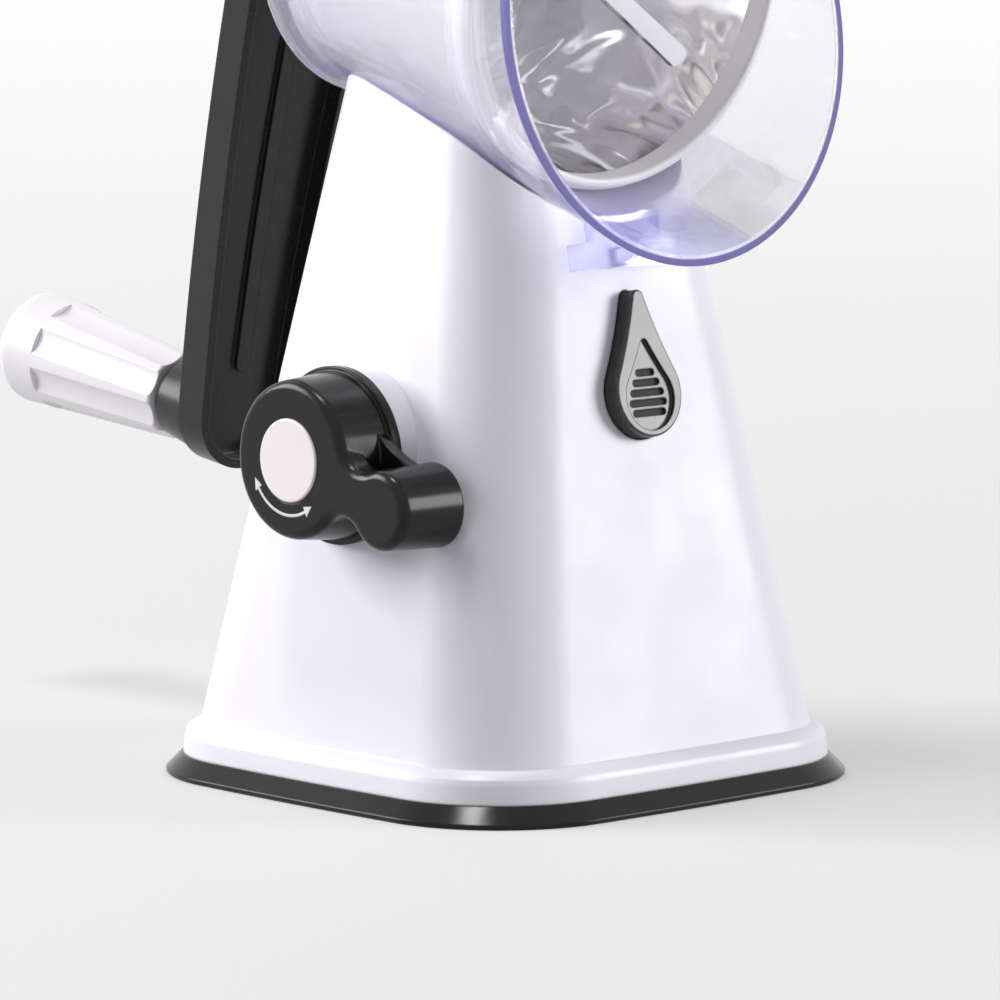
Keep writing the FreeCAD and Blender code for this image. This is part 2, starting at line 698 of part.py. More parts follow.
def lock_knob():
    """Disc and lever, drawn with the lever along -Y and then dropped."""
    shoulder_x = KNOB_FACE_X + KNOB_EDGE
    disc = Part.makeCone(KNOB_RADIUS, KNOB_BACK_RADIUS, KNOB_BACK_X - shoulder_x,
                         Vector(shoulder_x, 0, 0), X_AXIS)
    barrel = Part.makeCone(LEVER_END_RADIUS, LEVER_END_RADIUS + LEVER_DRAFT,
                           LEVER_BACK_X - shoulder_x,
                           Vector(shoulder_x, -LEVER_LENGTH, 0), X_AXIS)
    face = drop_face(KNOB_RADIUS, LEVER_END_RADIUS, LEVER_LENGTH, NECK_HOLLOW,
                     lambda across, along: Vector(KNOB_FACE_X, -along, across))
    face = face.extrude(Vector(NECK_DEPTH, 0, 0))
    rims = [edge for edge in face.Edges if edge.BoundBox.XMax < KNOB_FACE_X + NEAR]
    face = face.makeFillet(KNOB_EDGE, rims)
    flange = rod_x(KNOB_FLANGE_RADIUS, KNOB_BACK_X - KNOB_FLANGE, KNOB_BACK_X)
    web_low = KNOB_BACK_X - KNOB_FLANGE - NECK_WEB
    web = drop_face(KNOB_RADIUS - WEB_INSET, LEVER_END_RADIUS - WEB_INSET, LEVER_LENGTH, WEB_HOLLOW,
                    lambda across, along: Vector(web_low, -along, across))
    web = web.extrude(Vector(NECK_WEB, 0, 0))
    body = fuse_all([face, disc, barrel, flange, web])
    cuts = [
        rod_x(KNOB_CAP_RADIUS + NEAR, KNOB_FACE_X - OVERRUN, KNOB_FACE_X + KNOB_CAP_DEPTH),
        rod_x(SCREW_HEAD_RADIUS + SINK, KNOB_FACE_X, web_x() - KNOB_WEB),
        rod_x(SCREW_RADIUS + NEAR, KNOB_FACE_X, web_x() + OVERRUN),
        rod_x(CAM_SHAFT_RADIUS + PRESS_GAP, web_x(), KNOB_BACK_X + OVERRUN),
    ]
    return placed(body.cut(cuts), knob_place())


def knob_cap():
    low_x = KNOB_FACE_X - KNOB_CAP_PROUD
    cap = rod_x(KNOB_CAP_RADIUS, low_x, KNOB_FACE_X + KNOB_CAP_DEPTH)
    rims = [edge for edge in cap.Edges if edge.BoundBox.XMax < low_x + NEAR]
    return placed(cap.makeFillet(KNOB_CAP_PROUD, rims), knob_place())


def knob_screw():
    head_x = web_x() - KNOB_WEB
    head = rod_x(SCREW_HEAD_RADIUS, head_x - SCREW_HEAD, head_x)
    shank = rod_x(SCREW_RADIUS, head_x - SINK, head_x + KNOB_SCREW_LENGTH)
    return placed(head.fuse(shank).removeSplitter(), knob_place())


def release_button():
    behind = -TOWER_WALL - BUTTON_GAP
    body = button_outline(0.0, behind, BUTTON_PROUD)
    rims = [edge for edge in body.Edges if edge.BoundBox.YMax < NEAR - BUTTON_PROUD]
    body = body.makeFillet(BUTTON_EDGE, rims)
    flange = button_outline(BUTTON_FLANGE_REACH, behind - BUTTON_FLANGE, behind)
    body = body.fuse(flange)
    cuts = [teardrop(BUTTON_INSET_RADIUS, BUTTON_INSET_TIP_RADIUS, BUTTON_INSET_TIP_UP,
                     BUTTON_PROUD - BUTTON_INSET_DEPTH, BUTTON_PROUD + OVERRUN,
                     BUTTON_INSET_DROP)]
    floor = BUTTON_PROUD - BUTTON_INSET_DEPTH
    for row, width in enumerate(BUTTON_SLOT_WIDTHS):
        up = BUTTON_SLOT_LOW + row * BUTTON_SLOT_PITCH
        pill = stadium(width, BUTTON_SLOT_HEIGHT,
                       lambda across, rise: Vector(across, -floor - NEAR, up + rise))
        cuts.append(pill.extrude(Vector(0, BUTTON_SLOT_DEPTH + NEAR, 0)))
    spring_hole = Part.makeCylinder(SPRING_COIL_RADIUS + SPRING_WIRE_RADIUS + SPRING_GAP,
                                    SPRING_WELL + NEAR,
                                    Vector(0, -behind + BUTTON_FLANGE - SPRING_WELL, 0), Y_AXIS)
    cuts.append(spring_hole)
    return placed(body.cut(cuts).removeSplitter(), front_place())


def button_latch():
    back_n = -TOWER_WALL - BUTTON_GAP - BUTTON_FLANGE
    low = BUTTON_RADIUS - LATCH_LAP
    nose_low = up_face(LATCH_NOSE_LOW_Z, BUTTON_Z)
    nose_top = up_face(LATCH_NOSE_TOP_Z, BUTTON_Z)
    plate = slab(LATCH_HALF, low, nose_top, back_n - LATCH_THICKNESS, back_n)
    nose = slab(LATCH_NOSE_HALF, nose_low, nose_top, back_n - NEAR, LATCH_NOSE_REACH)
    return placed(plate.fuse(nose).removeSplitter(), front_place())


def button_guide():
    """Cage on the inside of the front wall that carries the button's spring."""
    high = -TOWER_WALL - GUIDE_SEAT
    low = -TOWER_WALL - GUIDE_DEPTH
    back = slab(GUIDE_HALF, -GUIDE_HEIGHT_HALF, GUIDE_TOP, low, low + GUIDE_PLATE)
    pieces = [back]
    for side in (-1, 1):
        leg = slab(GUIDE_PLATE / 2, -GUIDE_HEIGHT_HALF, GUIDE_TOP, low, high)
        leg.translate(Vector(side * (GUIDE_HALF - GUIDE_PLATE / 2), 0, 0))
        foot = slab(GUIDE_FOOT_HALF, -GUIDE_HEIGHT_HALF, GUIDE_TOP, high - GUIDE_PLATE, high)
        foot.translate(Vector(side * (GUIDE_HALF + GUIDE_FOOT_HALF - GUIDE_PLATE), 0, 0))
        pieces += [leg, foot]
    peg = Part.makeCylinder(SPRING_COIL_RADIUS - SPRING_WIRE_RADIUS - SPRING_GAP, SPRING_PEG,
                            Vector(0, -low - GUIDE_PLATE - SPRING_PEG, 0), Y_AXIS)
    pieces.append(peg)
    return placed(fuse_all(pieces), front_place())


def button_spring():
    seat = -TOWER_WALL - GUIDE_DEPTH + GUIDE_PLATE
    top = -TOWER_WALL - BUTTON_GAP - BUTTON_FLANGE + SPRING_WELL
    length = top - seat - 2 * SPRING_WIRE_RADIUS - 2 * NEAR
    pitch = length / SPRING_TURNS
    helix = Part.makeHelix(pitch, length, SPRING_COIL_RADIUS)
    start = Part.makeCircle(SPRING_WIRE_RADIUS, Vector(SPRING_COIL_RADIUS, 0, 0), Y_AXIS)
    coil = Part.Wire(helix.Edges).makePipeShell([Part.Wire(start)], True, True)
    place = Placement(Vector(0, -seat - SPRING_WIRE_RADIUS - NEAR, 0), Rotation(X_AXIS, 90))
    return placed(placed(coil, place), front_place())


def rim_wire(inset):
    """Oblique mouth of the flare: half a circle below and half an ellipse above."""
    lean = math.radians(RIM_LEAN)
    radius = RIM_RADIUS - inset
    tall = RIM_TOP_REACH - inset
    centre = Vector(0, -RIM_CENTRE_S, RIM_CENTRE_UP)
    up = Vector(0, math.sin(lean), math.cos(lean))
    normal = X_AXIS.cross(up)
    low = Part.Circle(centre, normal, radius)
    left = centre.sub(X_AXIS * radius)
    right = centre.add(X_AXIS * radius)
    lower = Part.Arc(left, centre.sub(up * radius), right).toShape()
    top = centre.add(up * tall)
    ellipse = Part.Ellipse(top, right, centre)
    upper = Part.Arc(ellipse, ellipse.parameter(right), ellipse.parameter(left))
    edge = upper.toShape()
    if edge.valueAt((edge.FirstParameter + edge.LastParameter) / 2).z < centre.z:
        upper = Part.Arc(ellipse, ellipse.parameter(left), ellipse.parameter(right))
        edge = upper.toShape()
    return Part.Wire([lower, edge])


def ring_wire(s, radius):
    left = Vector(-radius, -s, 0)
    right = Vector(radius, -s, 0)
    lower = Part.Arc(left, Vector(0, -s, -radius), right).toShape()
    upper = Part.Arc(right, Vector(0, -s, radius), left).toShape()
    return Part.Wire([lower, upper])


def flare(inset, rim_inset):
    front = ring_wire(BARREL_FRONT_S, barrel_radius(BARREL_FRONT_S) - inset)
    return Part.makeLoft([front, rim_wire(rim_inset)], True, True)


def rounded_prism(half_x, half_y, corner, low_z, high_z):
    corners = [(-half_x, -half_y, corner), (half_x, -half_y, corner),
               (half_x, half_y, corner), (-half_x, half_y, corner)]
    wire = rounded_wire(corners, lambda x, y: Vector(x, y + CHUTE_CENTRE_Y, low_z))
    return Part.Face(wire).extrude(Vector(0, 0, high_z - low_z))


def barrel_housing():
    """Clear barrel, oblique flare, feed chute, seat rails and hooked tongue."""
    outer = turned([
        (BARREL_BACK_S, 0, 0),
        (BARREL_BACK_S, barrel_radius(BARREL_BACK_S), 0),
        (BARREL_FRONT_S, barrel_radius(BARREL_FRONT_S), 0),
        (BARREL_FRONT_S, 0, 0),
    ])
    inner_back = BARREL_BACK_S + BACK_WALL
    inner = turned([
        (inner_back, 0, 0),
        (inner_back, barrel_radius(inner_back) - BARREL_WALL, INNER_ROUND),
        (BARREL_FRONT_S, barrel_radius(BARREL_FRONT_S) - BARREL_WALL, 0),
        (BARREL_FRONT_S, 0, 0),
    ])
    lip_front = BARREL_BACK_S + BACK_LIP_LENGTH
    back_lip = turned([
        (BARREL_BACK_S, 0, 0),
        (BARREL_BACK_S, BACK_LIP_RADIUS, BACK_ROUND),
        (lip_front, BACK_LIP_RADIUS, INNER_ROUND),
        (lip_front + BACK_LIP_FADE, barrel_radius(lip_front) - SINK, 0),
        (lip_front + BACK_LIP_FADE, 0, 0),
    ])
    outer = placed(outer.fuse(back_lip), HEAD)
    inner = placed(inner, HEAD)
    mouth_outer = placed(flare(0.0, 0.0), HEAD)
    mouth_inner = placed(flare(BARREL_WALL, RIM_WALL), HEAD)
    boss = rod(BACK_BOSS_RADIUS, BARREL_BACK_S - BACK_BOSS_LENGTH, BARREL_BACK_S + OVERRUN)
    boss = placed(boss, HEAD)
    chute = rounded_prism(CHUTE_WIDTH / 2, CHUTE_DEPTH / 2, CHUTE_CORNER,
                          AXIS_HEIGHT, CHUTE_TOP_Z)
    lip = rounded_prism(CHUTE_WIDTH / 2 + CHUTE_LIP, CHUTE_DEPTH / 2 + CHUTE_LIP,
                        CHUTE_CORNER + CHUTE_LIP, CHUTE_TOP_Z - CHUTE_LIP_HEIGHT, CHUTE_TOP_Z)
    throat = rounded_prism(CHUTE_WIDTH / 2 - CHUTE_WALL, CHUTE_DEPTH / 2 - CHUTE_WALL,
                           CHUTE_CORNER - CHUTE_WALL, AXIS_HEIGHT, CHUTE_TOP_Z + OVERRUN)
    rails = []
    for angle in RAIL_ANGLES:
        rail = block(Vector(barrel_radius(0) - BARREL_WALL, -RAIL_FRONT_S, -RAIL_WIDTH / 2),
                     Vector(barrel_radius(0) + RAIL_REACH, -RAIL_BACK_S, RAIL_WIDTH / 2))
        rail.rotate(ORIGIN, Vector(0, -1, 0), -angle)
        rails.append(placed(rail, HEAD).common(cradle_space(-TONGUE_GAP)))
    neck_place = front_frame(TONGUE_FOOT_LOW_Z)
    tongue_top = AXIS_HEIGHT - barrel_radius(BARREL_FRONT_S)
    low_n = TONGUE_GAP
    high_n = TONGUE_GAP + TONGUE_THICKNESS
    neck = slab(TONGUE_NECK_HALF, 0.0, up_face(tongue_top, TONGUE_FOOT_LOW_Z), low_n, high_n)
    foot = slab(TONGUE_FOOT_HALF, 0.0, up_face(TONGUE_FOOT_TOP_Z, TONGUE_FOOT_LOW_Z),
                low_n, high_n)
    channel_top = up_face(LATCH_NOSE_TOP_Z + LATCH_NOSE_RISE, TONGUE_FOOT_LOW_Z)
    channel = slab(CHANNEL_HALF, -OVERRUN, channel_top,
                   low_n - OVERRUN, LATCH_NOSE_REACH + BUTTON_GAP)
    tongue = placed(neck.fuse(foot).cut(channel), neck_place)
    body = outer.multiFuse([mouth_outer, boss, chute, lip, tongue] + rails)
    bush_hole = placed(rod(SHAFT_RADIUS + BUSH_WALL, BARREL_BACK_S - BACK_BOSS_LENGTH - OVERRUN,
                           inner_back + OVERRUN), HEAD)
    body = body.cut([inner, mouth_inner, throat, bush_hole])
    return body.removeSplitter()


def shaft_bush():
    back = BARREL_BACK_S - BACK_BOSS_LENGTH
    inner = BARREL_BACK_S + BACK_WALL
    body = rod(SHAFT_RADIUS + BUSH_WALL - PRESS_GAP, back, inner)
    flange = rod(SHAFT_RADIUS + 2 * BUSH_WALL, inner, inner + BUSH_FLANGE)
    hole = rod(SHAFT_RADIUS + RUNNING_FIT, back - OVERRUN, inner + BUSH_FLANGE + OVERRUN)
    return placed(body.fuse(flange).cut(hole).removeSplitter(), HEAD)


def hexagon(flats, back_s, front_s):
    radius = flats / 2 / math.cos(math.pi / 6)
    points = [Vector(radius * math.cos(k * math.pi / 3), -front_s,
                     radius * math.sin(k * math.pi / 3)) for k in range(7)]
    return Part.Face(Part.makePolygon(points)).extrude(Vector(0, front_s - back_s, 0))


def square(flats, back_s, front_s):
    half = flats / 2
    return block(Vector(-half, -front_s, -half), Vector(half, -back_s, half))


def drive_shaft():
    flange_back = shaft_flange_back()
    boss_back = BARREL_BACK_S - BACK_BOSS_LENGTH
    pieces = [
        square(SQUARE_FLATS, ARM_HUB_S + ARM_COUNTERBORE + HUB_GAP, boss_back),
        rod(SHAFT_RADIUS, boss_back - ARM_GAP, flange_back + OVERRUN),
        rod(SHAFT_FLANGE_RADIUS, flange_back, flange_back + SHAFT_FLANGE),
        hexagon(HEX_FLATS, flange_back, HUB_BOSS_FRONT_S - HUB_SOCKET_END - SINK),
    ]
    pilot = rod(SCREW_RADIUS + PILOT_GAP, ARM_HUB_S, ARM_HUB_S + ARM_SCREW_LENGTH + ARM_GAP)
    return placed(fuse_all(pieces).cut(pilot), HEAD)


def arm_profile(inset):
    """Tapered bar seen from behind: hub disc and end disc with tangent sides."""
    hub = ARM_HUB_RADIUS - inset
    end = ARM_END_RADIUS - inset
    reach = CRANK_RADIUS - ARM_PIN_DROP
    lean = math.asin((hub - end) / reach)
    across = math.cos(lean)
    up = -math.sin(lean)
    back = ARM_END_S - ARM_THICKNESS

    def at(x, z):
        return Vector(x, -back, z)

    edges = [
        Part.Arc(at(-hub * across, hub * up), at(0, hub), at(hub * across, hub * up)).toShape(),
        Part.makeLine(at(hub * across, hub * up), at(end * across, end * up - reach)),
        Part.Arc(at(end * across, end * up - reach), at(0, -reach - end),
                 at(-end * across, end * up - reach)).toShape(),
        Part.makeLine(at(-end * across, end * up - reach), at(-hub * across, hub * up)),
    ]
    depth = BARREL_BACK_S - back
    return Part.Face(Part.Wire(edges)).extrude(Vector(0, -depth, 0))


def bowed_plate(low_depth, high_depth, half_x):
    """Bowed strip between two depths measured in from the arm's outer face."""
    top = ARM_HUB_RADIUS + OVERRUN
    low = -CRANK_RADIUS - ARM_END_RADIUS - OVERRUN

    def arc(depth):
        return Part.Arc(Vector(-half_x, -ARM_HUB_S - depth, top),
                        Vector(-half_x, -ARM_MID_S - depth, ARM_MID_UP),
                        Vector(-half_x, -ARM_END_S - depth, low)).toShape()

    first = arc(low_depth)
    last = arc(high_depth)
    first_ends = [first.valueAt(first.FirstParameter), first.valueAt(first.LastParameter)]
    last_ends = [last.valueAt(last.FirstParameter), last.valueAt(last.LastParameter)]
    wire = Part.Wire([first, Part.makeLine(first_ends[1], last_ends[1]), last,
                      Part.makeLine(last_ends[0], first_ends[0])])
    return Part.Face(wire).extrude(Vector(2 * half_x, 0, 0))


def arm_outer_s(up):
    """Place of the arm's outer face along the axis at a height on the arm."""
    strip = bowed_plate(0.0, NEAR, OVERRUN)
    line = Part.makeLine(Vector(0, -BARREL_BACK_S, up), Vector(0, -2 * ARM_END_S, up))
    return -max(vertex.Y for vertex in strip.common(line).Vertexes)


def arm_rib(floor):
    """Low rib along the middle of the arm's recess, round at its lower end."""
    strip = bowed_plate(floor, floor + ARM_RIB_HEIGHT, ARM_RIB / 2)
    stop = -CRANK_RADIUS + ARM_RIB_STOP
    kept = block(Vector(-ARM_RIB, 0, stop), Vector(ARM_RIB, -2 * ARM_END_S, 2 * ARM_HUB_RADIUS))
    return strip.common(kept.fuse(rod(ARM_RIB / 2, 2 * ARM_END_S, 0, stop)))


def crank_arm():
    wide = 2 * ARM_HUB_RADIUS
    floor = ARM_THICKNESS - ARM_RECESS
    body = bowed_plate(0.0, ARM_THICKNESS, wide).common(arm_profile(0.0))
    hollow = bowed_plate(floor, ARM_THICKNESS + OVERRUN, wide)
    hollow = hollow.common(arm_profile(ARM_LIP))
    face = arm_outer_s(0.0)
    boss_front = BARREL_BACK_S - BACK_BOSS_LENGTH - ARM_GAP
    hollow = hollow.cut([arm_rib(floor), rod(ARM_BOSS_RADIUS, face, boss_front)])
    boss = rod(ARM_BOSS_RADIUS, face + OVERRUN, boss_front)
    body = body.cut(hollow).fuse(boss)
    pin_face = arm_outer_s(-CRANK_RADIUS)
    cuts = [
        square(SQUARE_FLATS + SQUARE_GAP, face - OVERRUN, boss_front + OVERRUN),
        rod(ARM_COUNTERBORE_RADIUS, face - ARM_THICKNESS, face + ARM_COUNTERBORE),
        rod(AXLE_RADIUS + PRESS_GAP, pin_face - ARM_THICKNESS, pin_face + AXLE_SET,
            -CRANK_RADIUS),
    ]
    return placed(body.cut(cuts).removeSplitter(), HEAD)


def arm_screw():
    seat = arm_outer_s(0.0) + ARM_COUNTERBORE
    head = rod(2 * SCREW_HEAD_RADIUS, seat - ARM_SCREW_HEAD, seat)
    shank = rod(SCREW_RADIUS, seat - SINK, seat + ARM_SCREW_LENGTH - ARM_COUNTERBORE)
    return placed(head.fuse(shank).removeSplitter(), HEAD)


def arm_cap():
    face = arm_outer_s(0.0)
    cap_back = face + ARM_COUNTERBORE - ARM_SCREW_HEAD - NEAR
    cap = turned([
        (cap_back, 0, 0),
        (cap_back, ARM_COUNTERBORE_RADIUS - NEAR, 0),
        (face - ARM_CAP_PROUD, ARM_COUNTERBORE_RADIUS - NEAR, ARM_CAP_ROUND),
        (face - ARM_CAP_PROUD - SINK, 0, 0),
    ])
    return placed(cap, HEAD)


def grip_shift():
    return HEAD.multiply(Placement(Vector(0, 0, -CRANK_RADIUS), Rotation()))


def grip_seat():
    return arm_outer_s(-CRANK_RADIUS) - 2 * NEAR


def grip_ferrule():
    seat = grip_seat()
    far = seat - FERRULE_LENGTH
    body = turned([
        (seat, AXLE_RADIUS + PRESS_GAP, 0),
        (seat, FERRULE_RADIUS - FERRULE_NECK, FERRULE_NECK),
        (seat - FERRULE_FLARE, FERRULE_RADIUS, FERRULE_NECK),
        (far, FERRULE_RADIUS - FERRULE_NECK, FERRULE_ROUND),
        (far, AXLE_RADIUS + PRESS_GAP, 0),
    ])
    return placed(body, grip_shift())


def grip_front():
    return grip_seat() - FERRULE_LENGTH - GRIP_GAP


def grip_axle():
    far = grip_front() - GRIP_LENGTH + AXLE_HEAD + AXLE_WELL
    inner = arm_outer_s(-CRANK_RADIUS) + AXLE_SET
    pieces = [
        rod(AXLE_RADIUS, far - OVERRUN, inner),
        rod(AXLE_HEAD_RADIUS, far - AXLE_HEAD, far),
    ]
    return placed(fuse_all(pieces), grip_shift())


def grip_sleeve():
    near = grip_front()
    far = near - GRIP_LENGTH
    recess = AXLE_HEAD + AXLE_WELL + GRIP_GAP
    body = turned([
        (near, AXLE_RADIUS + RUNNING_FIT, 0),
        (near, GRIP_NEAR_RADIUS, GRIP_NEAR_ROUND),
        (far, GRIP_FAR_RADIUS, GRIP_END_ROUND),
        (far, GRIP_RECESS_RADIUS, 0),
        (far + recess, GRIP_RECESS_RADIUS, 0),
        (far + recess, AXLE_RADIUS + RUNNING_FIT, 0),
    ])
    slope = (GRIP_FAR_RADIUS - GRIP_NEAR_RADIUS) / GRIP_LENGTH
    start = near + OVERRUN
    end = far + FLUTE_FAR_MARGIN
    centre = GRIP_NEAR_RADIUS - slope * OVERRUN + FLUTE_RADIUS - FLUTE_DEPTH
    cutter = Part.makeCylinder(FLUTE_RADIUS, start - end, ORIGIN, Y_AXIS)
    cutter.rotate(ORIGIN, X_AXIS, math.degrees(math.atan(slope)))
    cutter.translate(Vector(0, -start, centre))
    flutes = []
    for k in range(FLUTE_COUNT):
        flute = cutter.copy()
        flute.rotate(ORIGIN, Y_AXIS, (k + FLUTE_PHASE) * 360.0 / FLUTE_COUNT)
        flutes.append(flute)
    return placed(body.cut(flutes), grip_shift())


def grip_plug():
    far = grip_front() - GRIP_LENGTH
    plug = turned([
        (far + PLUG_DEPTH, 0, 0),
        (far + PLUG_DEPTH, GRIP_RECESS_RADIUS - PILOT_GAP, 0),
        (far + 2 * NEAR, GRIP_RECESS_RADIUS - PILOT_GAP, INNER_ROUND),
        (far + 2 * NEAR, 0, 0),
    ])
    return placed(plug, grip_shift())


def slot_cutter(angle):
    """Stadium-shaped cutter through the drum wall, skewed against the axis."""
    length = (SLOT_FRONT_S - SLOT_BACK_S) / math.cos(math.radians(SLOT_SKEW))
    low = drum_radius(DRUM_BACK_S) / 2
    outline = stadium(length, SLOT_WIDTH, lambda along, across: Vector(across, -along, low))
    cutter = outline.extrude(Vector(0, 0, DRUM_FRONT_RADIUS))
    cutter.rotate(ORIGIN, Z_AXIS, SLOT_SKEW)
    cutter.translate(Vector(0, -(SLOT_FRONT_S + SLOT_BACK_S) / 2, 0))
    cutter.rotate(ORIGIN, Y_AXIS, angle)
    return cutter


def drum_point(s, across, height):
    """Point over the drum's top generator: across it and above its skin."""
    radius = drum_radius(s)
    turn = math.asin(across / radius)
    reach = radius + height
    return Vector(reach * math.sin(turn), -s, reach * math.cos(turn))


def blade_lip(angle):
    """Raised cutting edge that leans over one long side of a slot."""
    middle = (SLOT_FRONT_S + SLOT_BACK_S) / 2
    skew = math.radians(SLOT_SKEW)
    sections = []
    for k in range(BLADE_STATIONS):
        share = k / (BLADE_STATIONS - 1)
        s = SLOT_BACK_S + BLADE_MARGIN + (SLOT_FRONT_S - SLOT_BACK_S - 2 * BLADE_MARGIN) * share
        edge = (s - middle) * math.tan(skew) + (SLOT_WIDTH / 2 - BLADE_OVERLAP) / math.cos(skew)
        rise = BLADE_HEIGHT * math.sin(math.pi * (BLADE_FADE + (1 - 2 * BLADE_FADE) * share)) ** 0.5
        corners = [
            drum_point(s, edge, rise),
            drum_point(s, edge + BLADE_WIDTH, 0.0),
            drum_point(s, edge + BLADE_WIDTH, -SHEET / 2),
            drum_point(s, edge, rise - SHEET / 2),
        ]
        sections.append(Part.makePolygon(corners + corners[:1]))
    lip = Part.makeLoft(sections, True, True)
    lip.rotate(ORIGIN, Y_AXIS, angle)
    return lip


def drum_body():
    shell = turned([
        (DRUM_BACK_S, drum_radius(DRUM_BACK_S), 0),
        (DRUM_FRONT_S, drum_radius(DRUM_FRONT_S), 0),
        (DRUM_FRONT_S, drum_radius(DRUM_FRONT_S) - SHEET, 0),
        (DRUM_BACK_S, drum_radius(DRUM_BACK_S) - SHEET, 0),
    ])
    angles = [SLOT_PHASE + k * 360.0 / SLOT_COUNT for k in range(SLOT_COUNT)]
    shell = shell.cut([slot_cutter(angle) for angle in angles])
    shell = shell.multiFuse([blade_lip(angle) for angle in angles])
    return placed(shell, HEAD)


def drum_ring():
    seat = drum_radius(RING_BACK_S)
    ring = turned([
        (RING_BACK_S, seat + PRESS_GAP, 0),
        (RING_BACK_S, RING_SLEEVE, SINK),
        (RING_STEP_S, RING_SLEEVE + SINK, 0),
        (RING_STEP_S, RING_RADIUS, RING_ROUND / 2),
        (RING_FRONT_S - RING_GROOVE_S, RING_RADIUS, RING_ROUND),
        (RING_FRONT_S - RING_GROOVE_S + SINK, RING_RADIUS - RING_ROUND, 0),
        (RING_FRONT_S, RING_RADIUS - RING_ROUND, RING_ROUND),
        (RING_FRONT_S, RING_BORE, RING_ROUND),
        (DRUM_FRONT_S, RING_BORE, 0),
        (DRUM_FRONT_S, drum_radius(DRUM_FRONT_S) + PRESS_GAP, 0),
    ])
    return placed(ring, HEAD)


def shaft_flange_back():
    return BARREL_BACK_S + BACK_WALL + BUSH_FLANGE + SLIDE_GAP


def drum_hub():
    reach = drum_radius(DRUM_BACK_S) - SHEET - PILOT_GAP
    back_s = shaft_flange_back() + SHAFT_FLANGE + HUB_GAP
    inner_s = back_s + HUB_DISC
    lap_s = DRUM_BACK_S + HUB_LAP
    lap_reach = reach + HUB_LAP * DRUM_SLOPE
    rim = turned([
        (back_s, 0, 0),
        (back_s, reach, INNER_ROUND),
        (DRUM_BACK_S, reach, 0),
        (lap_s, lap_reach, 0),
        (lap_s, lap_reach - HUB_RIM, 0),
        (inner_s, reach - HUB_RIM, 0),
        (inner_s, 0, 0),
    ])
    boss = rod(HUB_BOSS_RADIUS, inner_s - SINK, HUB_BOSS_FRONT_S)
    body = rim.fuse(boss)
    socket = hexagon(HEX_FLATS + 2 * HEX_GAP, back_s - OVERRUN, HUB_BOSS_FRONT_S - HUB_SOCKET_END)
    cuts = [socket]
    for k in range(HUB_WINDOW_COUNT):
        turn = 2 * math.pi * (k + 0.5) / HUB_WINDOW_COUNT
        hole = rod(HUB_WINDOW_RADIUS, back_s - OVERRUN, inner_s + OVERRUN)
        hole.translate(Vector(HUB_WINDOW_CIRCLE * math.cos(turn), 0,
                              HUB_WINDOW_CIRCLE * math.sin(turn)))
        cuts.append(hole)
    return placed(body.cut(cuts).removeSplitter(), HEAD)


def drum_rivets():
    rivets = []
    s = DRUM_BACK_S + HUB_LAP / 2
    for k in range(RIVET_COUNT):
        radius = drum_radius(s)
        rivet = Part.makeCylinder(RIVET_RADIUS, RIVET_HEAD, Vector(0, -s, radius - PILOT_GAP))
        rivet.rotate(ORIGIN, Y_AXIS, (k + 0.5) * 360.0 / RIVET_COUNT)
        rivets.append(placed(rivet, HEAD))
    return Part.makeCompound(rivets)


def pusher_room():
    """Cone over the drum that the pusher's underside keeps clear of."""
    back_s = 2 * DRUM_BACK_S
    front_s = 2 * DRUM_FRONT_S
    clear = BLADE_HEIGHT + PUSHER_THROAT
    return placed(turned([
        (back_s, 0, 0),
        (back_s, drum_radius(back_s) + clear, 0),
        (front_s, drum_radius(front_s) + clear, 0),
        (front_s, 0, 0),
    ]), HEAD)


def pusher_body():
    half_x = CHUTE_WIDTH / 2 - CHUTE_WALL - PUSHER_GAP
    half_y = CHUTE_DEPTH / 2 - CHUTE_WALL - PUSHER_GAP
    corner = CHUTE_CORNER - CHUTE_WALL - PUSHER_GAP
    outer = rounded_prism(half_x, half_y, corner, AXIS_HEIGHT, CHUTE_TOP_Z)
    inner = rounded_prism(half_x - PUSHER_WALL, half_y - PUSHER_WALL, corner - PUSHER_WALL,
                          CHUTE_TOP_Z - PUSHER_CUP, CHUTE_TOP_Z + OVERRUN)
    return outer.cut([inner, pusher_room()]).removeSplitter()


def pusher_cap():
    half_x = CHUTE_WIDTH / 2 + CHUTE_LIP
    half_y = CHUTE_DEPTH / 2 + CHUTE_LIP
    corner = CHUTE_CORNER + CHUTE_LIP
    top = CHUTE_TOP_Z + PUSHER_CAP_HEIGHT
    plate = rounded_prism(half_x, half_y, corner, CHUTE_TOP_Z, top)
    grip = rounded_prism(PUSHER_GRIP_WIDTH / 2, PUSHER_GRIP_DEPTH / 2, PUSHER_GRIP_CORNER,
                         top - SINK, top + PUSHER_GRIP_HEIGHT)
    upper = [edge for edge in plate.Edges if edge.BoundBox.ZMin > top - NEAR]
    plate = plate.makeFillet(PUSHER_PLATE_ROUND, upper)
    upper = [edge for edge in grip.Edges
             if edge.BoundBox.ZMin > top + PUSHER_GRIP_HEIGHT - NEAR]
    grip = grip.makeFillet(PUSHER_GRIP_ROUND, upper)
    return fuse_all([plate, grip])


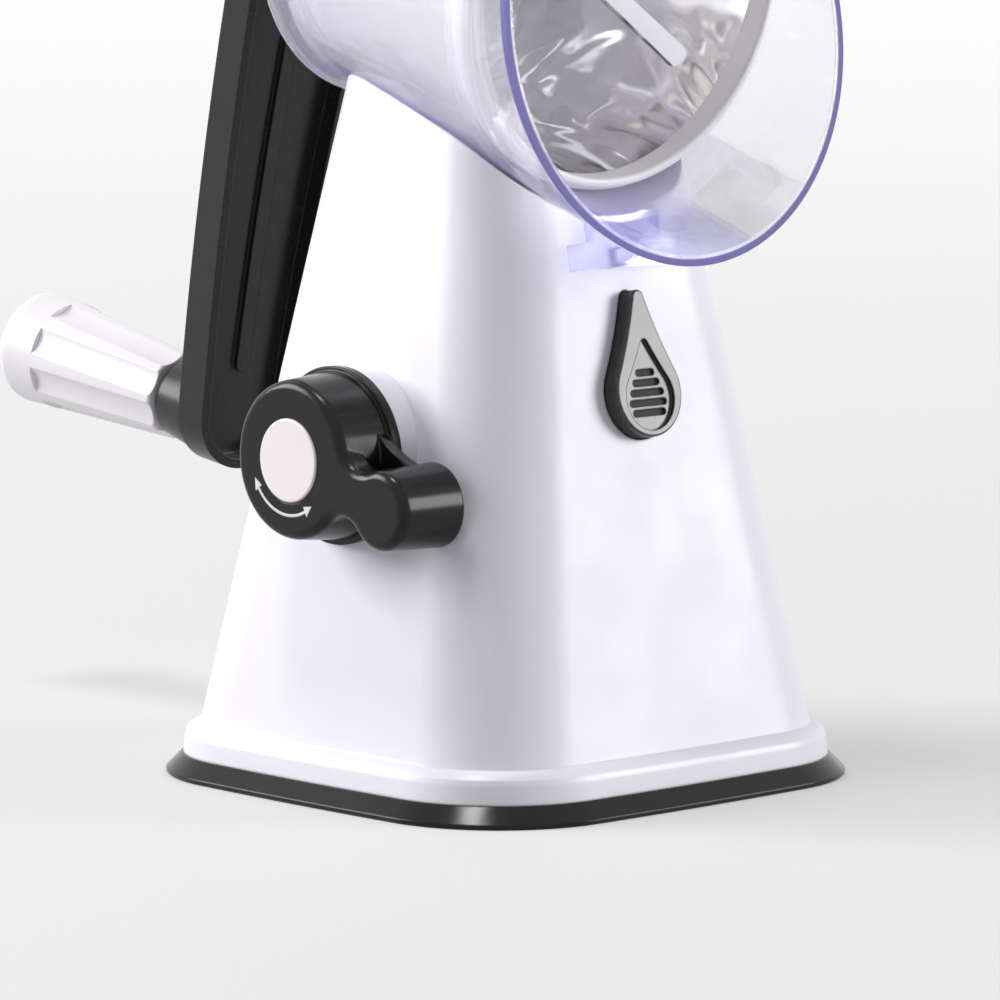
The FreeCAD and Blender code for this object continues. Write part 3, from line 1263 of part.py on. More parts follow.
NODES = {
    "tower_shell": tower_shell,
    "suction_cup": suction_cup,
    "base_frame": base_frame,
    "base_screws": base_screws,
    "wall_bush": wall_bush,
    "button_guide": button_guide,
    "lock_knob": lock_knob,
    "knob_cap": knob_cap,
    "knob_screw": knob_screw,
    "cam_shaft": cam_shaft,
    "cup_stem": cup_stem,
    "release_button": release_button,
    "button_latch": button_latch,
    "button_spring": button_spring,
    "barrel_housing": barrel_housing,
    "shaft_bush": shaft_bush,
    "drive_shaft": drive_shaft,
    "crank_arm": crank_arm,
    "arm_screw": arm_screw,
    "arm_cap": arm_cap,
    "grip_ferrule": grip_ferrule,
    "grip_axle": grip_axle,
    "grip_sleeve": grip_sleeve,
    "grip_plug": grip_plug,
    "drum_body": drum_body,
    "drum_ring": drum_ring,
    "drum_hub": drum_hub,
    "drum_rivets": drum_rivets,
    "pusher_body": pusher_body,
    "pusher_cap": pusher_cap,
}

os.makedirs("parts", exist_ok=True)
for node_name, make in NODES.items():
    save(node_name, make())
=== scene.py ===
"""Looks of a rotary cabbage shredder, built round the solids that carry and move them.

Lengths are in metres. +Z is up, the drum's mouth and the release button face -Y, the
lock knob is on the -X side, and the crank is behind at +Y.
"""

import json
import logging
import math
from dataclasses import dataclass, field
from enum import Enum
from typing import Protocol, Sequence

import bmesh
import bpy
from mathutils import Matrix, Vector


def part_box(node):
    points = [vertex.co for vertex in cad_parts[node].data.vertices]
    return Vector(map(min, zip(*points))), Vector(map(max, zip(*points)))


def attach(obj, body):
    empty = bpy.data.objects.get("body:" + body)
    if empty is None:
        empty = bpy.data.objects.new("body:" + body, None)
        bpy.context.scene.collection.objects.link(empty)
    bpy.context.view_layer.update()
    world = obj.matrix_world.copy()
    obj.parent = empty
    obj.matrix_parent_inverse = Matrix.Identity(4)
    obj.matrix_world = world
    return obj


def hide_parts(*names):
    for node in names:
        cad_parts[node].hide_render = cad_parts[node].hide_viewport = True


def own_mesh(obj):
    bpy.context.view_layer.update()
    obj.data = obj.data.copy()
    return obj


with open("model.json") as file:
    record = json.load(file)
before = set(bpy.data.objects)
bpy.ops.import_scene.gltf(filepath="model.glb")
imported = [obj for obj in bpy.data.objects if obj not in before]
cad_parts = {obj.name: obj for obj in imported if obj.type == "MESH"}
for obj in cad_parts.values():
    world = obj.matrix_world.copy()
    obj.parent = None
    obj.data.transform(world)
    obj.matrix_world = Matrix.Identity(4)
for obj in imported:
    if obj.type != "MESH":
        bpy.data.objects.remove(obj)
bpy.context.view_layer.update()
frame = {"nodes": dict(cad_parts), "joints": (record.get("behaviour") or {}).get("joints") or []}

LOG = logging.getLogger("shredder")
MM = 0.001

Colour = tuple[float, float, float]
Factors = tuple[float, float, float]
Outline = list[tuple[float, float]]

WAVE_DETAIL = 1.0
GRAIN_DETAIL = 2.0
DRIFT_DETAIL = 3.0
DRIFT_LOW = 0.3
DRIFT_HIGH = 0.7
BEVEL_SAMPLES = 6


@dataclass(frozen=True)
class Cut:
    """A plane across the object, with a point on it and the way it looks."""

    point: Vector
    normal: Vector


def joint_named(name: str) -> dict:
    """Finds a joint of the moving model.

    Args:
        name: The joint's name.

    Returns:
        The joint's entry, with its axis and, for a hinge, its place.
    """
    return next(joint for joint in frame["joints"] if joint["name"] == name)


def head_matrix() -> Matrix:
    """Works out the tilted frame of drum, barrel and crank.

    Returns:
        The placement whose -Y runs forward along the crank's axis and whose origin
        is on the tower's middle line.
    """
    crank = joint_named("crank_turn")
    forward = Vector(crank["axis"]).normalized()
    place = Vector(crank["pos_m"])
    centre = place - forward * (place.y / forward.y)
    tilt = math.atan2(-forward.z, -forward.y)
    return Matrix.Translation(centre) @ Matrix.Rotation(tilt, 4, "X")


HEAD = head_matrix()


def rim_cut(centre_s: float = 61.5 * MM, centre_up: float = -8.0 * MM,
            lean: float = math.radians(16.7)) -> Cut:
    """Gives the oblique plane of the flare's rim.

    Args:
        centre_s: How far forward along the axis the rim's middle is.
        centre_up: How far above the axis it is.
        lean: How far the rim's plane leans.

    Returns:
        The plane, looking forward.
    """
    look = Vector((0.0, -math.cos(lean), math.sin(lean)))
    return Cut(HEAD @ Vector((0.0, -centre_s, centre_up)), HEAD.to_3x3() @ look)


def barrel_cut(front_s: float = 36.0 * MM) -> Cut:
    """Gives the plane where the barrel ends and its flare starts.

    Args:
        front_s: How far forward along the axis it is.

    Returns:
        The plane, looking back.
    """
    return Cut(HEAD @ Vector((0.0, -front_s, 0.0)), HEAD.to_3x3() @ Vector((0.0, 1.0, 0.0)))


def button_cut(front_y: float = -47.6 * MM, height: float = 112.5 * MM,
               rise: float = math.radians(10.5)) -> Cut:
    """Gives the plane of the release button's face.

    Args:
        front_y: Where the face is at the given height.
        height: The height of that point.
        rise: How far the face looks up.

    Returns:
        The plane, looking out.
    """
    return Cut(Vector((0.0, front_y, height)), Vector((0.0, -math.cos(rise), math.sin(rise))))


def foot_cut(height: float = 17.0 * MM) -> Cut:
    """Gives the level under which the housing is only its tongue and the flare's lowest part.

    Args:
        height: How far it is above the housing's lowest point.

    Returns:
        The plane, looking down.
    """
    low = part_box("barrel_housing")[0][2]
    return Cut(Vector((0.0, 0.0, low + height)), Vector((0.0, 0.0, -1.0)))


class Edge(Enum):
    """How round a piece's moulded or cut edges look."""

    SHARP = 0.0
    CUT = 0.15 * MM
    MOULDED = 0.5 * MM
    SOFT = 0.9 * MM


class Finish(Protocol):
    """What every finish offers."""

    name: str

    def make(self) -> bpy.types.Material:
        """Builds the material."""


class ShaderGraph:
    """A material's node tree, with short calls to add and join its nodes."""

    def __init__(self, name: str) -> None:
        """Starts an empty material.

        Args:
            name: The material's name.
        """
        self.material = bpy.data.materials.new(name)
        self.material.use_nodes = True
        self.tree = self.material.node_tree
        self.tree.nodes.clear()

    def add(self, kind: str, **values: object) -> bpy.types.Node:
        """Adds a node.

        Args:
            kind: The node's type, without the leading ShaderNode.
            **values: Input values by socket name with underscores for spaces, or
                properties of the node itself.

        Returns:
            The new node.
        """
        node = self.tree.nodes.new("ShaderNode" + kind)
        for key, value in values.items():
            socket = node.inputs.get(key.replace("_", " "))
            if socket is not None:
                socket.default_value = value
            else:
                setattr(node, key, value)
        return node

    def join(self, source: bpy.types.NodeSocket, target: bpy.types.NodeSocket) -> None:
        """Links an output to an input.

        Args:
            source: The output socket.
            target: The input socket.
        """
        self.tree.links.new(source, target)

    def value(self, operation: str, first: object, second: object = 0.0) -> bpy.types.NodeSocket:
        """Adds a sum.

        Args:
            operation: The kind of sum.
            first: A number or an output socket.
            second: A number or an output socket, left out where the sum takes one value.

        Returns:
            The result's socket.
        """
        node = self.add("Math", operation=operation)
        for socket, item in zip(node.inputs, (first, second)):
            if isinstance(item, bpy.types.NodeSocket):
                self.join(item, socket)
            else:
                socket.default_value = item
        return node.outputs["Value"]

    def place(self, scale: float, stretch: Factors = (1.0, 1.0, 1.0)) -> bpy.types.NodeSocket:
        """Gives object coordinates for a texture.

        Args:
            scale: Repeats per metre.
            stretch: Factors along the three axes.

        Returns:
            The mapped coordinate's socket.
        """
        coordinate = self.add("TexCoord")
        mapping = self.add("Mapping")
        mapping.inputs["Scale"].default_value = [scale * factor for factor in stretch]
        self.join(coordinate.outputs["Object"], mapping.inputs["Vector"])
        return mapping.outputs["Vector"]

    def past(self, cut: Cut) -> bpy.types.NodeSocket:
        """Gives how far the surface is past a cut.

        Args:
            cut: The cut.

        Returns:
            The distance's socket, above zero on the side that the cut looks to.
        """
        coordinate = self.add("TexCoord")
        along = self.add("VectorMath", operation="DOT_PRODUCT")
        along.inputs[1].default_value = cut.normal
        self.join(coordinate.outputs["Object"], along.inputs[0])
        return self.value("SUBTRACT", along.outputs["Value"], cut.point.dot(cut.normal))

    def ramp(self, amount: bpy.types.NodeSocket, **limits: object) -> bpy.types.NodeSocket:
        """Maps a value from one range to another.

        Args:
            amount: The value's socket.
            **limits: The map's own inputs and properties.

        Returns:
            The result's socket.
        """
        mapped = self.add("MapRange", **limits)
        self.join(amount, mapped.inputs["Value"])
        return mapped.outputs["Result"]

    def blend(self, mask: bpy.types.NodeSocket, low: object, high: float) -> bpy.types.NodeSocket:
        """Adds a value that a mask leads from one level to another.

        Args:
            mask: The mask's socket.
            low: The level, a number or a socket, where the mask is 0.
            high: The level where it is 1.

        Returns:
            The value's socket.
        """
        back = self.value("SUBTRACT", 1.0, mask)
        return self.value("ADD", self.value("MULTIPLY", back, low),
                          self.value("MULTIPLY", mask, high))

    def finish(self, shader: bpy.types.Node,
               inside: bpy.types.Node | None = None) -> bpy.types.Material:
        """Ends the tree with a surface shader and, for a clear finish, one for its inside.

        Args:
            shader: The last shader node of the surface.
            inside: The shader node of the inside, if there is one.

        Returns:
            The finished material.
        """
        output = self.add("OutputMaterial")
        self.join(shader.outputs[0], output.inputs["Surface"])
        if inside is not None:
            self.join(inside.outputs["Volume"], output.inputs["Volume"])
        return self.material


@dataclass(frozen=True)
class Skin:
    """Small-scale relief and mottling that all the finishes share."""

    grain_per_m: float = 2600.0
    grain_depth: float = 0.004 * MM
    wave_per_m: float = 45.0
    wave_depth: float = 0.008 * MM
    swirl: float = 0.0
    stretch: Factors = (1.0, 1.0, 1.0)
    edge: Edge = Edge.MOULDED

    def relief(self, graph: ShaderGraph) -> bpy.types.NodeSocket:
        """Adds rounded edges, a slow wave and a fine grain.

        Args:
            graph: The tree to add to.

        Returns:
            The normal's socket.
        """
        wave = graph.add("TexNoise", Scale=1.0, Detail=WAVE_DETAIL, Distortion=self.swirl)
        graph.join(graph.place(self.wave_per_m, self.stretch), wave.inputs["Vector"])
        grain = graph.add("TexNoise", Scale=1.0, Detail=GRAIN_DETAIL)
        graph.join(graph.place(self.grain_per_m, self.stretch), grain.inputs["Vector"])
        slow = graph.add("Bump", Strength=1.0, Distance=self.wave_depth)
        fine = graph.add("Bump", Strength=1.0, Distance=self.grain_depth)
        graph.join(wave.outputs["Fac"], slow.inputs["Height"])
        graph.join(grain.outputs["Fac"], fine.inputs["Height"])
        if self.edge is not Edge.SHARP:
            rounding = graph.add("Bevel", Radius=self.edge.value, samples=BEVEL_SAMPLES)
            graph.join(rounding.outputs["Normal"], slow.inputs["Normal"])
        graph.join(slow.outputs["Normal"], fine.inputs["Normal"])
        return fine.outputs["Normal"]

    def spread(self, graph: ShaderGraph, low: float, high: float,
               per_m: float = 60.0) -> bpy.types.NodeSocket:
        """Adds a value that drifts over the surface.

        Args:
            graph: The tree to add to.
            low: The lowest value.
            high: The highest value.
            per_m: How quickly it drifts.

        Returns:
            The value's socket.
        """
        noise = graph.add("TexNoise", Scale=1.0, Detail=DRIFT_DETAIL)
        graph.join(graph.place(per_m), noise.inputs["Vector"])
        return graph.ramp(noise.outputs["Fac"], From_Min=DRIFT_LOW, From_Max=DRIFT_HIGH,
                          To_Min=low, To_Max=high)

    def mottle(self, graph: ShaderGraph, colour: Colour, drift: float,
               per_m: float) -> bpy.types.NodeSocket:
        """Adds a colour that darkens a little here and there.

        Args:
            graph: The tree to add to.
            colour: The colour.
            drift: How much darker it gets, as a share.
            per_m: How quickly it drifts.

        Returns:
            The colour's socket.
        """
        dark = [part * (1.0 - drift) for part in colour]
        mixed = graph.add("MixRGB", Color1=(*colour, 1.0), Color2=(*dark, 1.0))
        graph.join(self.spread(graph, 0.0, 1.0, per_m), mixed.inputs["Fac"])
        return mixed.outputs["Color"]


@dataclass(frozen=True)
class Plastic:
    """Moulded opaque plastic."""

    name: str
    colour: Colour
    roughness: float
    drift: float = 0.03
    gloss: float = 0.5
    mottle_per_m: float = 25.0
    smoothest: float = 0.88
    roughest: float = 1.15
    skin: Skin = field(default_factory=Skin)

    def rough(self, graph: ShaderGraph) -> bpy.types.NodeSocket:
        """Adds the roughness, which drifts a little.

        Args:
            graph: The tree to add to.

        Returns:
            The roughness's socket.
        """
        return self.skin.spread(graph, self.roughness * self.smoothest,
                                self.roughness * self.roughest)

    def make(self) -> bpy.types.Material:
        """Builds the material.

        Returns:
            The material.
        """
        graph = ShaderGraph(self.name)
        shader = graph.add("BsdfPrincipled", Specular_IOR_Level=self.gloss)
        colour = self.skin.mottle(graph, self.colour, self.drift, self.mottle_per_m)
        graph.join(colour, shader.inputs["Base Color"])
        graph.join(self.rough(graph), shader.inputs["Roughness"])
        graph.join(self.skin.relief(graph), shader.inputs["Normal"])
        return graph.finish(shader)


@dataclass(frozen=True)
class GroovedPlastic(Plastic):
    """Moulded plastic whose deep grooves are dull and so look dark."""

    face: Cut = field(default_factory=button_cut)
    groove_depth: float = 1.55 * MM
    groove_roughness: float = 0.75
    groove_fade: float = 0.25 * MM

    def rough(self, graph: ShaderGraph) -> bpy.types.NodeSocket:
        """Adds the roughness, which is high in the grooves.

        Args:
            graph: The tree to add to.

        Returns:
            The roughness's socket.
        """
        groove = graph.ramp(graph.past(self.face), From_Min=-self.groove_depth,
                            From_Max=self.groove_fade - self.groove_depth,
                            To_Min=self.groove_roughness, To_Max=0.0)
        return graph.value("MAXIMUM", super().rough(graph), groove)


@dataclass(frozen=True)
class Steel:
    """Bright sheet or turned steel."""

    name: str
    colour: Colour
    roughness: float
    drift: float = 0.07
    mottle_per_m: float = 90.0
    smoothest: float = 0.8
    roughest: float = 1.3
    rough_per_m: float = 140.0
    skin: Skin = field(default_factory=Skin)

    def make(self) -> bpy.types.Material:
        """Builds the material.

        Returns:
            The material.
        """
        graph = ShaderGraph(self.name)
        shader = graph.add("BsdfPrincipled", Metallic=1.0)
        colour = self.skin.mottle(graph, self.colour, self.drift, self.mottle_per_m)
        graph.join(colour, shader.inputs["Base Color"])
        rough = self.skin.spread(graph, self.roughness * self.smoothest,
                                 self.roughness * self.roughest, self.rough_per_m)
        graph.join(rough, shader.inputs["Roughness"])
        graph.join(self.skin.relief(graph), shader.inputs["Normal"])
        return graph.finish(shader)


@dataclass(frozen=True)
class ClearPlastic:
    """Clear moulded plastic, a little milky in the barrel, with a painted violet shade line at
    its rim that stands in for the deeper tint seen edge-on through the rim's thickness.
    """

    name: str
    colour: Colour
    # The rim's colour is painted violet shade, for the deeper tint seen edge-on through the rim's
    # thickness.
    rim_shade_colour: Colour
    rim: Cut
    barrel: Cut
    foot: Cut
    tongue_half: float = 18.0 * MM
    tongue_colour: Colour = (0.66, 0.64, 0.96)
    tongue_milk: float = 0.45
    rim_radius: float = 55.6 * MM
    rim_tall: float = 64.5 * MM
    rim_line: float = 1.5 * MM
    rim_width: float = 2.0 * MM
    fade: float = 0.6 * MM
    blend: float = 6.0 * MM
    milk: float = 0.38
    rim_milk: float = 0.9
    cover: float = 0.5
    rim_cover: float = 1.0
    rim_roughness: float = 0.6
    shadow: float = 0.25
    tint: Colour = (0.60, 0.56, 0.97)
    tint_per_m: float = 32.0
    roughness: float = 0.03
    smoothest: float = 0.8
    roughest: float = 1.2
    bending: float = 1.46
    skin: Skin = field(default_factory=Skin)

    def side(self, graph: ShaderGraph, cut: Cut, low: float, high: float) -> bpy.types.NodeSocket:
        """Adds a mask that rises from 0 to 1 along a cut's normal.

        Args:
            graph: The tree to add to.
            cut: The cut.
            low: The distance past the cut where the mask starts to rise.
            high: The distance where it reaches 1.

        Returns:
            The mask's socket.
        """
        return graph.ramp(graph.past(cut), interpolation_type="SMOOTHSTEP", From_Min=low,
                          From_Max=high)

    def rim_shade_mask(self, graph: ShaderGraph) -> bpy.types.NodeSocket:
        """Adds a mask of the rim's outer edge, where the violet shade is painted.

        Args:
            graph: The tree to add to.

        Returns:
            The mask's socket.
        """
        up = self.rim.normal.cross(Vector((1.0, 0.0, 0.0)))
        coordinate = graph.add("TexCoord")
        offset = graph.add("VectorMath", operation="SUBTRACT")
        offset.inputs[1].default_value = self.rim.point
        graph.join(coordinate.outputs["Object"], offset.inputs[0])
        rise = graph.add("VectorMath", operation="DOT_PRODUCT")
        rise.inputs[1].default_value = up
        graph.join(offset.outputs["Vector"], rise.inputs[0])
        parts = graph.add("SeparateXYZ")
        graph.join(offset.outputs["Vector"], parts.inputs["Vector"])
        above = graph.value("MAXIMUM", rise.outputs["Value"], 0.0)
        below = graph.value("MINIMUM", rise.outputs["Value"], 0.0)
        pressed = graph.value("MULTIPLY", above, self.rim_radius / self.rim_tall)
        even = graph.value("ADD", below, pressed)
        across = graph.value("MULTIPLY", parts.outputs["X"], parts.outputs["X"])
        square = graph.value("ADD", across, graph.value("MULTIPLY", even, even))
        reach = graph.value("SQRT", square)
        near = self.rim_radius - self.rim_line
        outer = graph.ramp(reach, interpolation_type="SMOOTHSTEP", From_Min=near - self.fade,
                           From_Max=near)
        front = self.side(graph, self.rim, -self.rim_width, self.fade - self.rim_width)
        return graph.value("MULTIPLY", outer, front)

    def tongue(self, graph: ShaderGraph) -> bpy.types.NodeSocket:
        """Adds a mask of the tongue that hooks into the tower's front.

        Args:
            graph: The tree to add to.

        Returns:
            The mask's socket.
        """
        coordinate = graph.add("TexCoord")
        parts = graph.add("SeparateXYZ")
        graph.join(coordinate.outputs["Object"], parts.inputs["Vector"])
        off = graph.value("ABSOLUTE", parts.outputs["X"])
        wide = graph.ramp(off, interpolation_type="SMOOTHSTEP", From_Min=self.tongue_half,
                          From_Max=self.tongue_half + self.fade, To_Min=1.0, To_Max=0.0)
        return graph.value("MULTIPLY", wide, self.side(graph, self.foot, 0.0, self.blend))

    def make(self) -> bpy.types.Material:
        """Builds the material.

        Returns:
            The material.
        """
        graph = ShaderGraph(self.name)
        shader = graph.add("BsdfPrincipled", IOR=self.bending)
        # At the rim the base colour turns dark violet and nearly opaque and diffuse: painted
        # shade for the deeper tint seen edge-on through the rim's thickness.
        painted_rim_shade = self.rim_shade_mask(graph)
        in_barrel = self.side(graph, self.barrel, -self.blend, 0.0)
        in_tongue = self.tongue(graph)
        plain = graph.add("MixRGB", Color1=(*self.colour, 1.0), Color2=(*self.tongue_colour, 1.0))
        graph.join(in_tongue, plain.inputs["Fac"])
        hue = graph.add("MixRGB", Color2=(*self.rim_shade_colour, 1.0))
        graph.join(painted_rim_shade, hue.inputs["Fac"])
        graph.join(plain.outputs["Color"], hue.inputs["Color1"])
        graph.join(hue.outputs["Color"], shader.inputs["Base Color"])
        body = graph.blend(in_tongue, graph.value("MULTIPLY", in_barrel, self.milk),
                           self.tongue_milk)
        milk = graph.blend(painted_rim_shade, body, self.rim_milk)
        graph.join(graph.value("SUBTRACT", 1.0, milk), shader.inputs["Transmission Weight"])
        path = graph.add("LightPath")
        lit = graph.value("MULTIPLY", path.outputs["Is Shadow Ray"], 1.0 - self.shadow)
        cover = graph.blend(painted_rim_shade, self.cover, self.rim_cover)
        cover = graph.value("MULTIPLY", cover, graph.value("SUBTRACT", 1.0, lit))
        graph.join(cover, shader.inputs["Alpha"])
        rough = self.skin.spread(graph, self.roughness * self.smoothest,
                                 self.roughness * self.roughest)
        rough = graph.blend(painted_rim_shade, rough, self.rim_roughness)
        graph.join(rough, shader.inputs["Roughness"])
        graph.join(self.skin.relief(graph), shader.inputs["Normal"])
        depth = graph.add("VolumeAbsorption", Color=(*self.tint, 1.0), Density=self.tint_per_m)
        return graph.finish(shader, depth)


SOFT = Skin(edge=Edge.SOFT)
MATT = Skin(grain_per_m=1500.0, grain_depth=0.012 * MM)
WAVY = Skin(grain_per_m=1400.0, grain_depth=0.001 * MM, wave_per_m=24.0, wave_depth=1.9 * MM,
            swirl=2.4, stretch=(1.0, 0.7, 1.0), edge=Edge.CUT)
TURNED = Skin(grain_per_m=2200.0, grain_depth=0.004 * MM, edge=Edge.CUT)
CLEAR = Skin(grain_per_m=300.0, grain_depth=0.0005 * MM, wave_per_m=30.0, wave_depth=0.03 * MM,
             edge=Edge.SHARP)

WHITE = Plastic("white_plastic", (0.86, 0.84, 0.92), roughness=0.34, drift=0.01, skin=SOFT)
RING_WHITE = Plastic("ring_plastic", (0.93, 0.91, 0.92), roughness=0.36, drift=0.01, skin=SOFT)
FRAME_WHITE = Plastic("frame_plastic", (0.80, 0.79, 0.85), roughness=0.42, skin=MATT)
GRIP_WHITE = Plastic("grip_plastic", (0.87, 0.84, 0.89), roughness=0.34, skin=MATT)
CAP_WHITE = Plastic("cap_plastic", (0.94, 0.86, 0.90), roughness=0.36)
BLACK = Plastic("black_plastic", (0.014, 0.0135, 0.013), roughness=0.27, drift=0.12, gloss=0.3)
KNOB_BLACK = Plastic("knob_plastic", (0.010, 0.0095, 0.009), roughness=0.20, drift=0.12,
                     gloss=0.23, skin=SOFT)
CHARCOAL = GroovedPlastic("button_plastic", (0.026, 0.025, 0.024), roughness=0.26, drift=0.1,
                          gloss=0.6)
RUBBER = Plastic("pad_rubber", (0.003, 0.003, 0.004), roughness=0.17, drift=0.1, gloss=0.27)
MARKING = Plastic("marking_white", (0.80, 0.79, 0.78), roughness=0.5)
DRUM_STEEL = Steel("drum_steel", (0.95, 0.94, 0.94), roughness=0.09, skin=WAVY)
PLAIN_STEEL = Steel("plain_steel", (0.58, 0.58, 0.59), roughness=0.28, skin=TURNED)
# The rim colour below is painted violet shade, for the deeper tint seen edge-on through the rim.
CLEAR_VIOLET = ClearPlastic("clear_plastic", (0.985, 0.98, 1.0), rim_shade_colour=(0.15, 0.13, 0.42),
                            rim=rim_cut(), barrel=barrel_cut(), foot=foot_cut(), skin=CLEAR)


class FinishBook:
    """Makes each finish's material once and hands it out."""

    def __init__(self) -> None:
        """Starts with no material made."""
        self.made: dict[str, bpy.types.Material] = {}

    def material(self, finish: Finish) -> bpy.types.Material:
        """Gives a finish's material.

        Args:
            finish: The finish.

        Returns:
            The material, made on first use.
        """
        if finish.name not in self.made:
            self.made[finish.name] = finish.make()
        return self.made[finish.name]

    def coat(self, piece: bpy.types.Object, finish: Finish) -> None:
        """Gives a piece one finish all over.

        Args:
            piece: The piece.
            finish: Its finish.
        """
        piece.data.materials.clear()
        piece.data.materials.append(self.material(finish))


@dataclass
class SubAssembly:
    """A group of solids that keep their shape and get a finish."""

    book: FinishBook
    finishes: dict[str, Finish] = field(default_factory=dict)

    def dress(self) -> None:
        """Gives each carried-over solid its finish."""
        for node, finish in self.finishes.items():
            self.book.coat(frame["nodes"][node], finish)
            LOG.info("dressed %s in %s", node, finish.name)

    def build(self) -> None:
        """Makes the sub-assembly's own pieces, of which the plain kind has none."""

    def add_piece(self, name: str, mesh: bpy.types.Mesh, finish: Finish, body: str,
                  slot: str, stands_for: Sequence[str] = ()) -> bpy.types.Object:
        """Puts a modelled piece on its body.

        Args:
            name: The piece's name.
            mesh: Its mesh, in place.
            finish: Its finish.
            body: The body that it moves with.
            slot: The record's material slot; not used.
            stands_for: The solids that it is shown in place of.

        Returns:
            The piece.
        """
        piece = bpy.data.objects.new(name, mesh)
        bpy.context.scene.collection.objects.link(piece)
        self.book.coat(piece, finish)
        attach(piece, body)
        if stands_for:
            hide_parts(*stands_for)
        LOG.info("built %s on %s", name, body)
        return piece


def plate(name: str, outline: Outline, near_x: float, far_x: float) -> bpy.types.Mesh:
    """Makes a thin plate across the X axis.

    Args:
        name: The mesh's name.
        outline: Its corners as y and z, in order.
        near_x: Where its seen face is.
        far_x: Where its other face is.

    Returns:
        The mesh, closed.
    """
    work = bmesh.new()
    front = [work.verts.new((near_x, y, z)) for y, z in outline]
    face = work.faces.new(front)
    grown = bmesh.ops.extrude_face_region(work, geom=[face])
    moved = [item for item in grown["geom"] if isinstance(item, bmesh.types.BMVert)]
    bmesh.ops.translate(work, verts=moved, vec=(far_x - near_x, 0.0, 0.0))
    bmesh.ops.recalc_face_normals(work, faces=work.faces)
    bmesh.ops.triangulate(work, faces=work.faces)
    mesh = bpy.data.meshes.new(name)
    work.to_mesh(mesh)
    work.free()
    return mesh


@dataclass
class Tower(SubAssembly):
    """The tapered tower with its inner frame, and the suction base under it."""

    finishes: dict[str, Finish] = field(default_factory=lambda: {
        "tower_shell": WHITE, "suction_cup": RUBBER, "base_frame": FRAME_WHITE,
        "base_screws": PLAIN_STEEL, "wall_bush": FRAME_WHITE, "cup_stem": FRAME_WHITE})


@dataclass
class LockKnob(SubAssembly):
    """The lever knob on the tower's side, with a double-headed arrow on its face."""

    finishes: dict[str, Finish] = field(default_factory=lambda: {
        "lock_knob": KNOB_BLACK, "knob_cap": CAP_WHITE, "knob_screw": PLAIN_STEEL,
        "cam_shaft": PLAIN_STEEL})
    centre: Vector = field(default_factory=lambda: Vector((-70.3, 0.0, 82.5)) * MM)
    arc_radius: float = 13.1 * MM
    arc_start: float = -116.0
    arc_end: float = -35.0
    arc_steps: int = 40
    line_width: float = 0.75 * MM
    head_length: float = 2.9 * MM
    head_width: float = 2.7 * MM
    proud: float = 0.06 * MM
    sunk: float = 0.05 * MM

    def spot(self, radius: float, angle: float) -> tuple[float, float]:
        """Places a point of the knob's face.

        Args:
            radius: How far it is from the knob's middle.
            angle: Its turn in degrees from straight back, with down below zero.

        Returns:
            Its y and z.
        """
        turn = math.radians(angle)
        return (self.centre.y + radius * math.cos(turn), self.centre.z + radius * math.sin(turn))

    def arrow_outline(self) -> Outline:
        """Draws the arrow round the lower part of the face.

        Returns:
            The outline's corners, in order.
        """
        half = self.line_width / 2
        wing = self.head_width / 2
        reach = math.degrees(self.head_length / self.arc_radius)
        step = (self.arc_end - self.arc_start) / self.arc_steps
        angles = [self.arc_start + step * count for count in range(self.arc_steps + 1)]
        outer = [self.spot(self.arc_radius + half, angle) for angle in angles]
        inner = [self.spot(self.arc_radius - half, angle) for angle in reversed(angles)]
        far_head = [self.spot(self.arc_radius + wing, self.arc_end),
                    self.spot(self.arc_radius, self.arc_end + reach),
                    self.spot(self.arc_radius - wing, self.arc_end)]
        near_head = [self.spot(self.arc_radius - wing, self.arc_start),
                     self.spot(self.arc_radius, self.arc_start - reach),
                     self.spot(self.arc_radius + wing, self.arc_start)]
        return outer + far_head + inner + near_head

    def build(self) -> None:
        """Makes the printed arrow."""
        mesh = plate("knob_arrow", self.arrow_outline(), self.centre.x - self.proud,
                     self.centre.x + self.sunk)
        self.add_piece("knob_arrow", mesh, MARKING, "lock", "white_plastic")


@dataclass
class ReleaseButton(SubAssembly):
    """The teardrop button in the tower's front face."""

    finishes: dict[str, Finish] = field(default_factory=lambda: {
        "release_button": CHARCOAL, "button_latch": FRAME_WHITE,
        "button_guide": FRAME_WHITE, "button_spring": PLAIN_STEEL})

    def build(self) -> None:
        """Makes the return spring."""
        mesh = frame["nodes"]["button_spring"].data.copy()
        spring = self.add_piece("press_spring", mesh, PLAIN_STEEL, "root", "steel",
                                ["button_spring"])
        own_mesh(spring)


@dataclass
class Housing(SubAssembly):
    """The clear barrel with its scoop and chute, and the pusher in it."""

    finishes: dict[str, Finish] = field(default_factory=lambda: {
        "barrel_housing": CLEAR_VIOLET, "shaft_bush": FRAME_WHITE,
        "pusher_body": WHITE, "pusher_cap": WHITE})


@dataclass
class Crank(SubAssembly):
    """The crank arm, its shaft and the grip that turns on it."""

    finishes: dict[str, Finish] = field(default_factory=lambda: {
        "crank_arm": BLACK, "drive_shaft": PLAIN_STEEL, "arm_screw": PLAIN_STEEL,
        "arm_cap": BLACK, "grip_ferrule": BLACK, "grip_axle": PLAIN_STEEL,
        "grip_sleeve": GRIP_WHITE, "grip_plug": GRIP_WHITE})


@dataclass
class Drum(SubAssembly):
    """The slotted steel drum between its white ring and hub."""

    finishes: dict[str, Finish] = field(default_factory=lambda: {
        "drum_body": DRUM_STEEL, "drum_ring": RING_WHITE, "drum_hub": FRAME_WHITE,
        "drum_rivets": DRUM_STEEL})


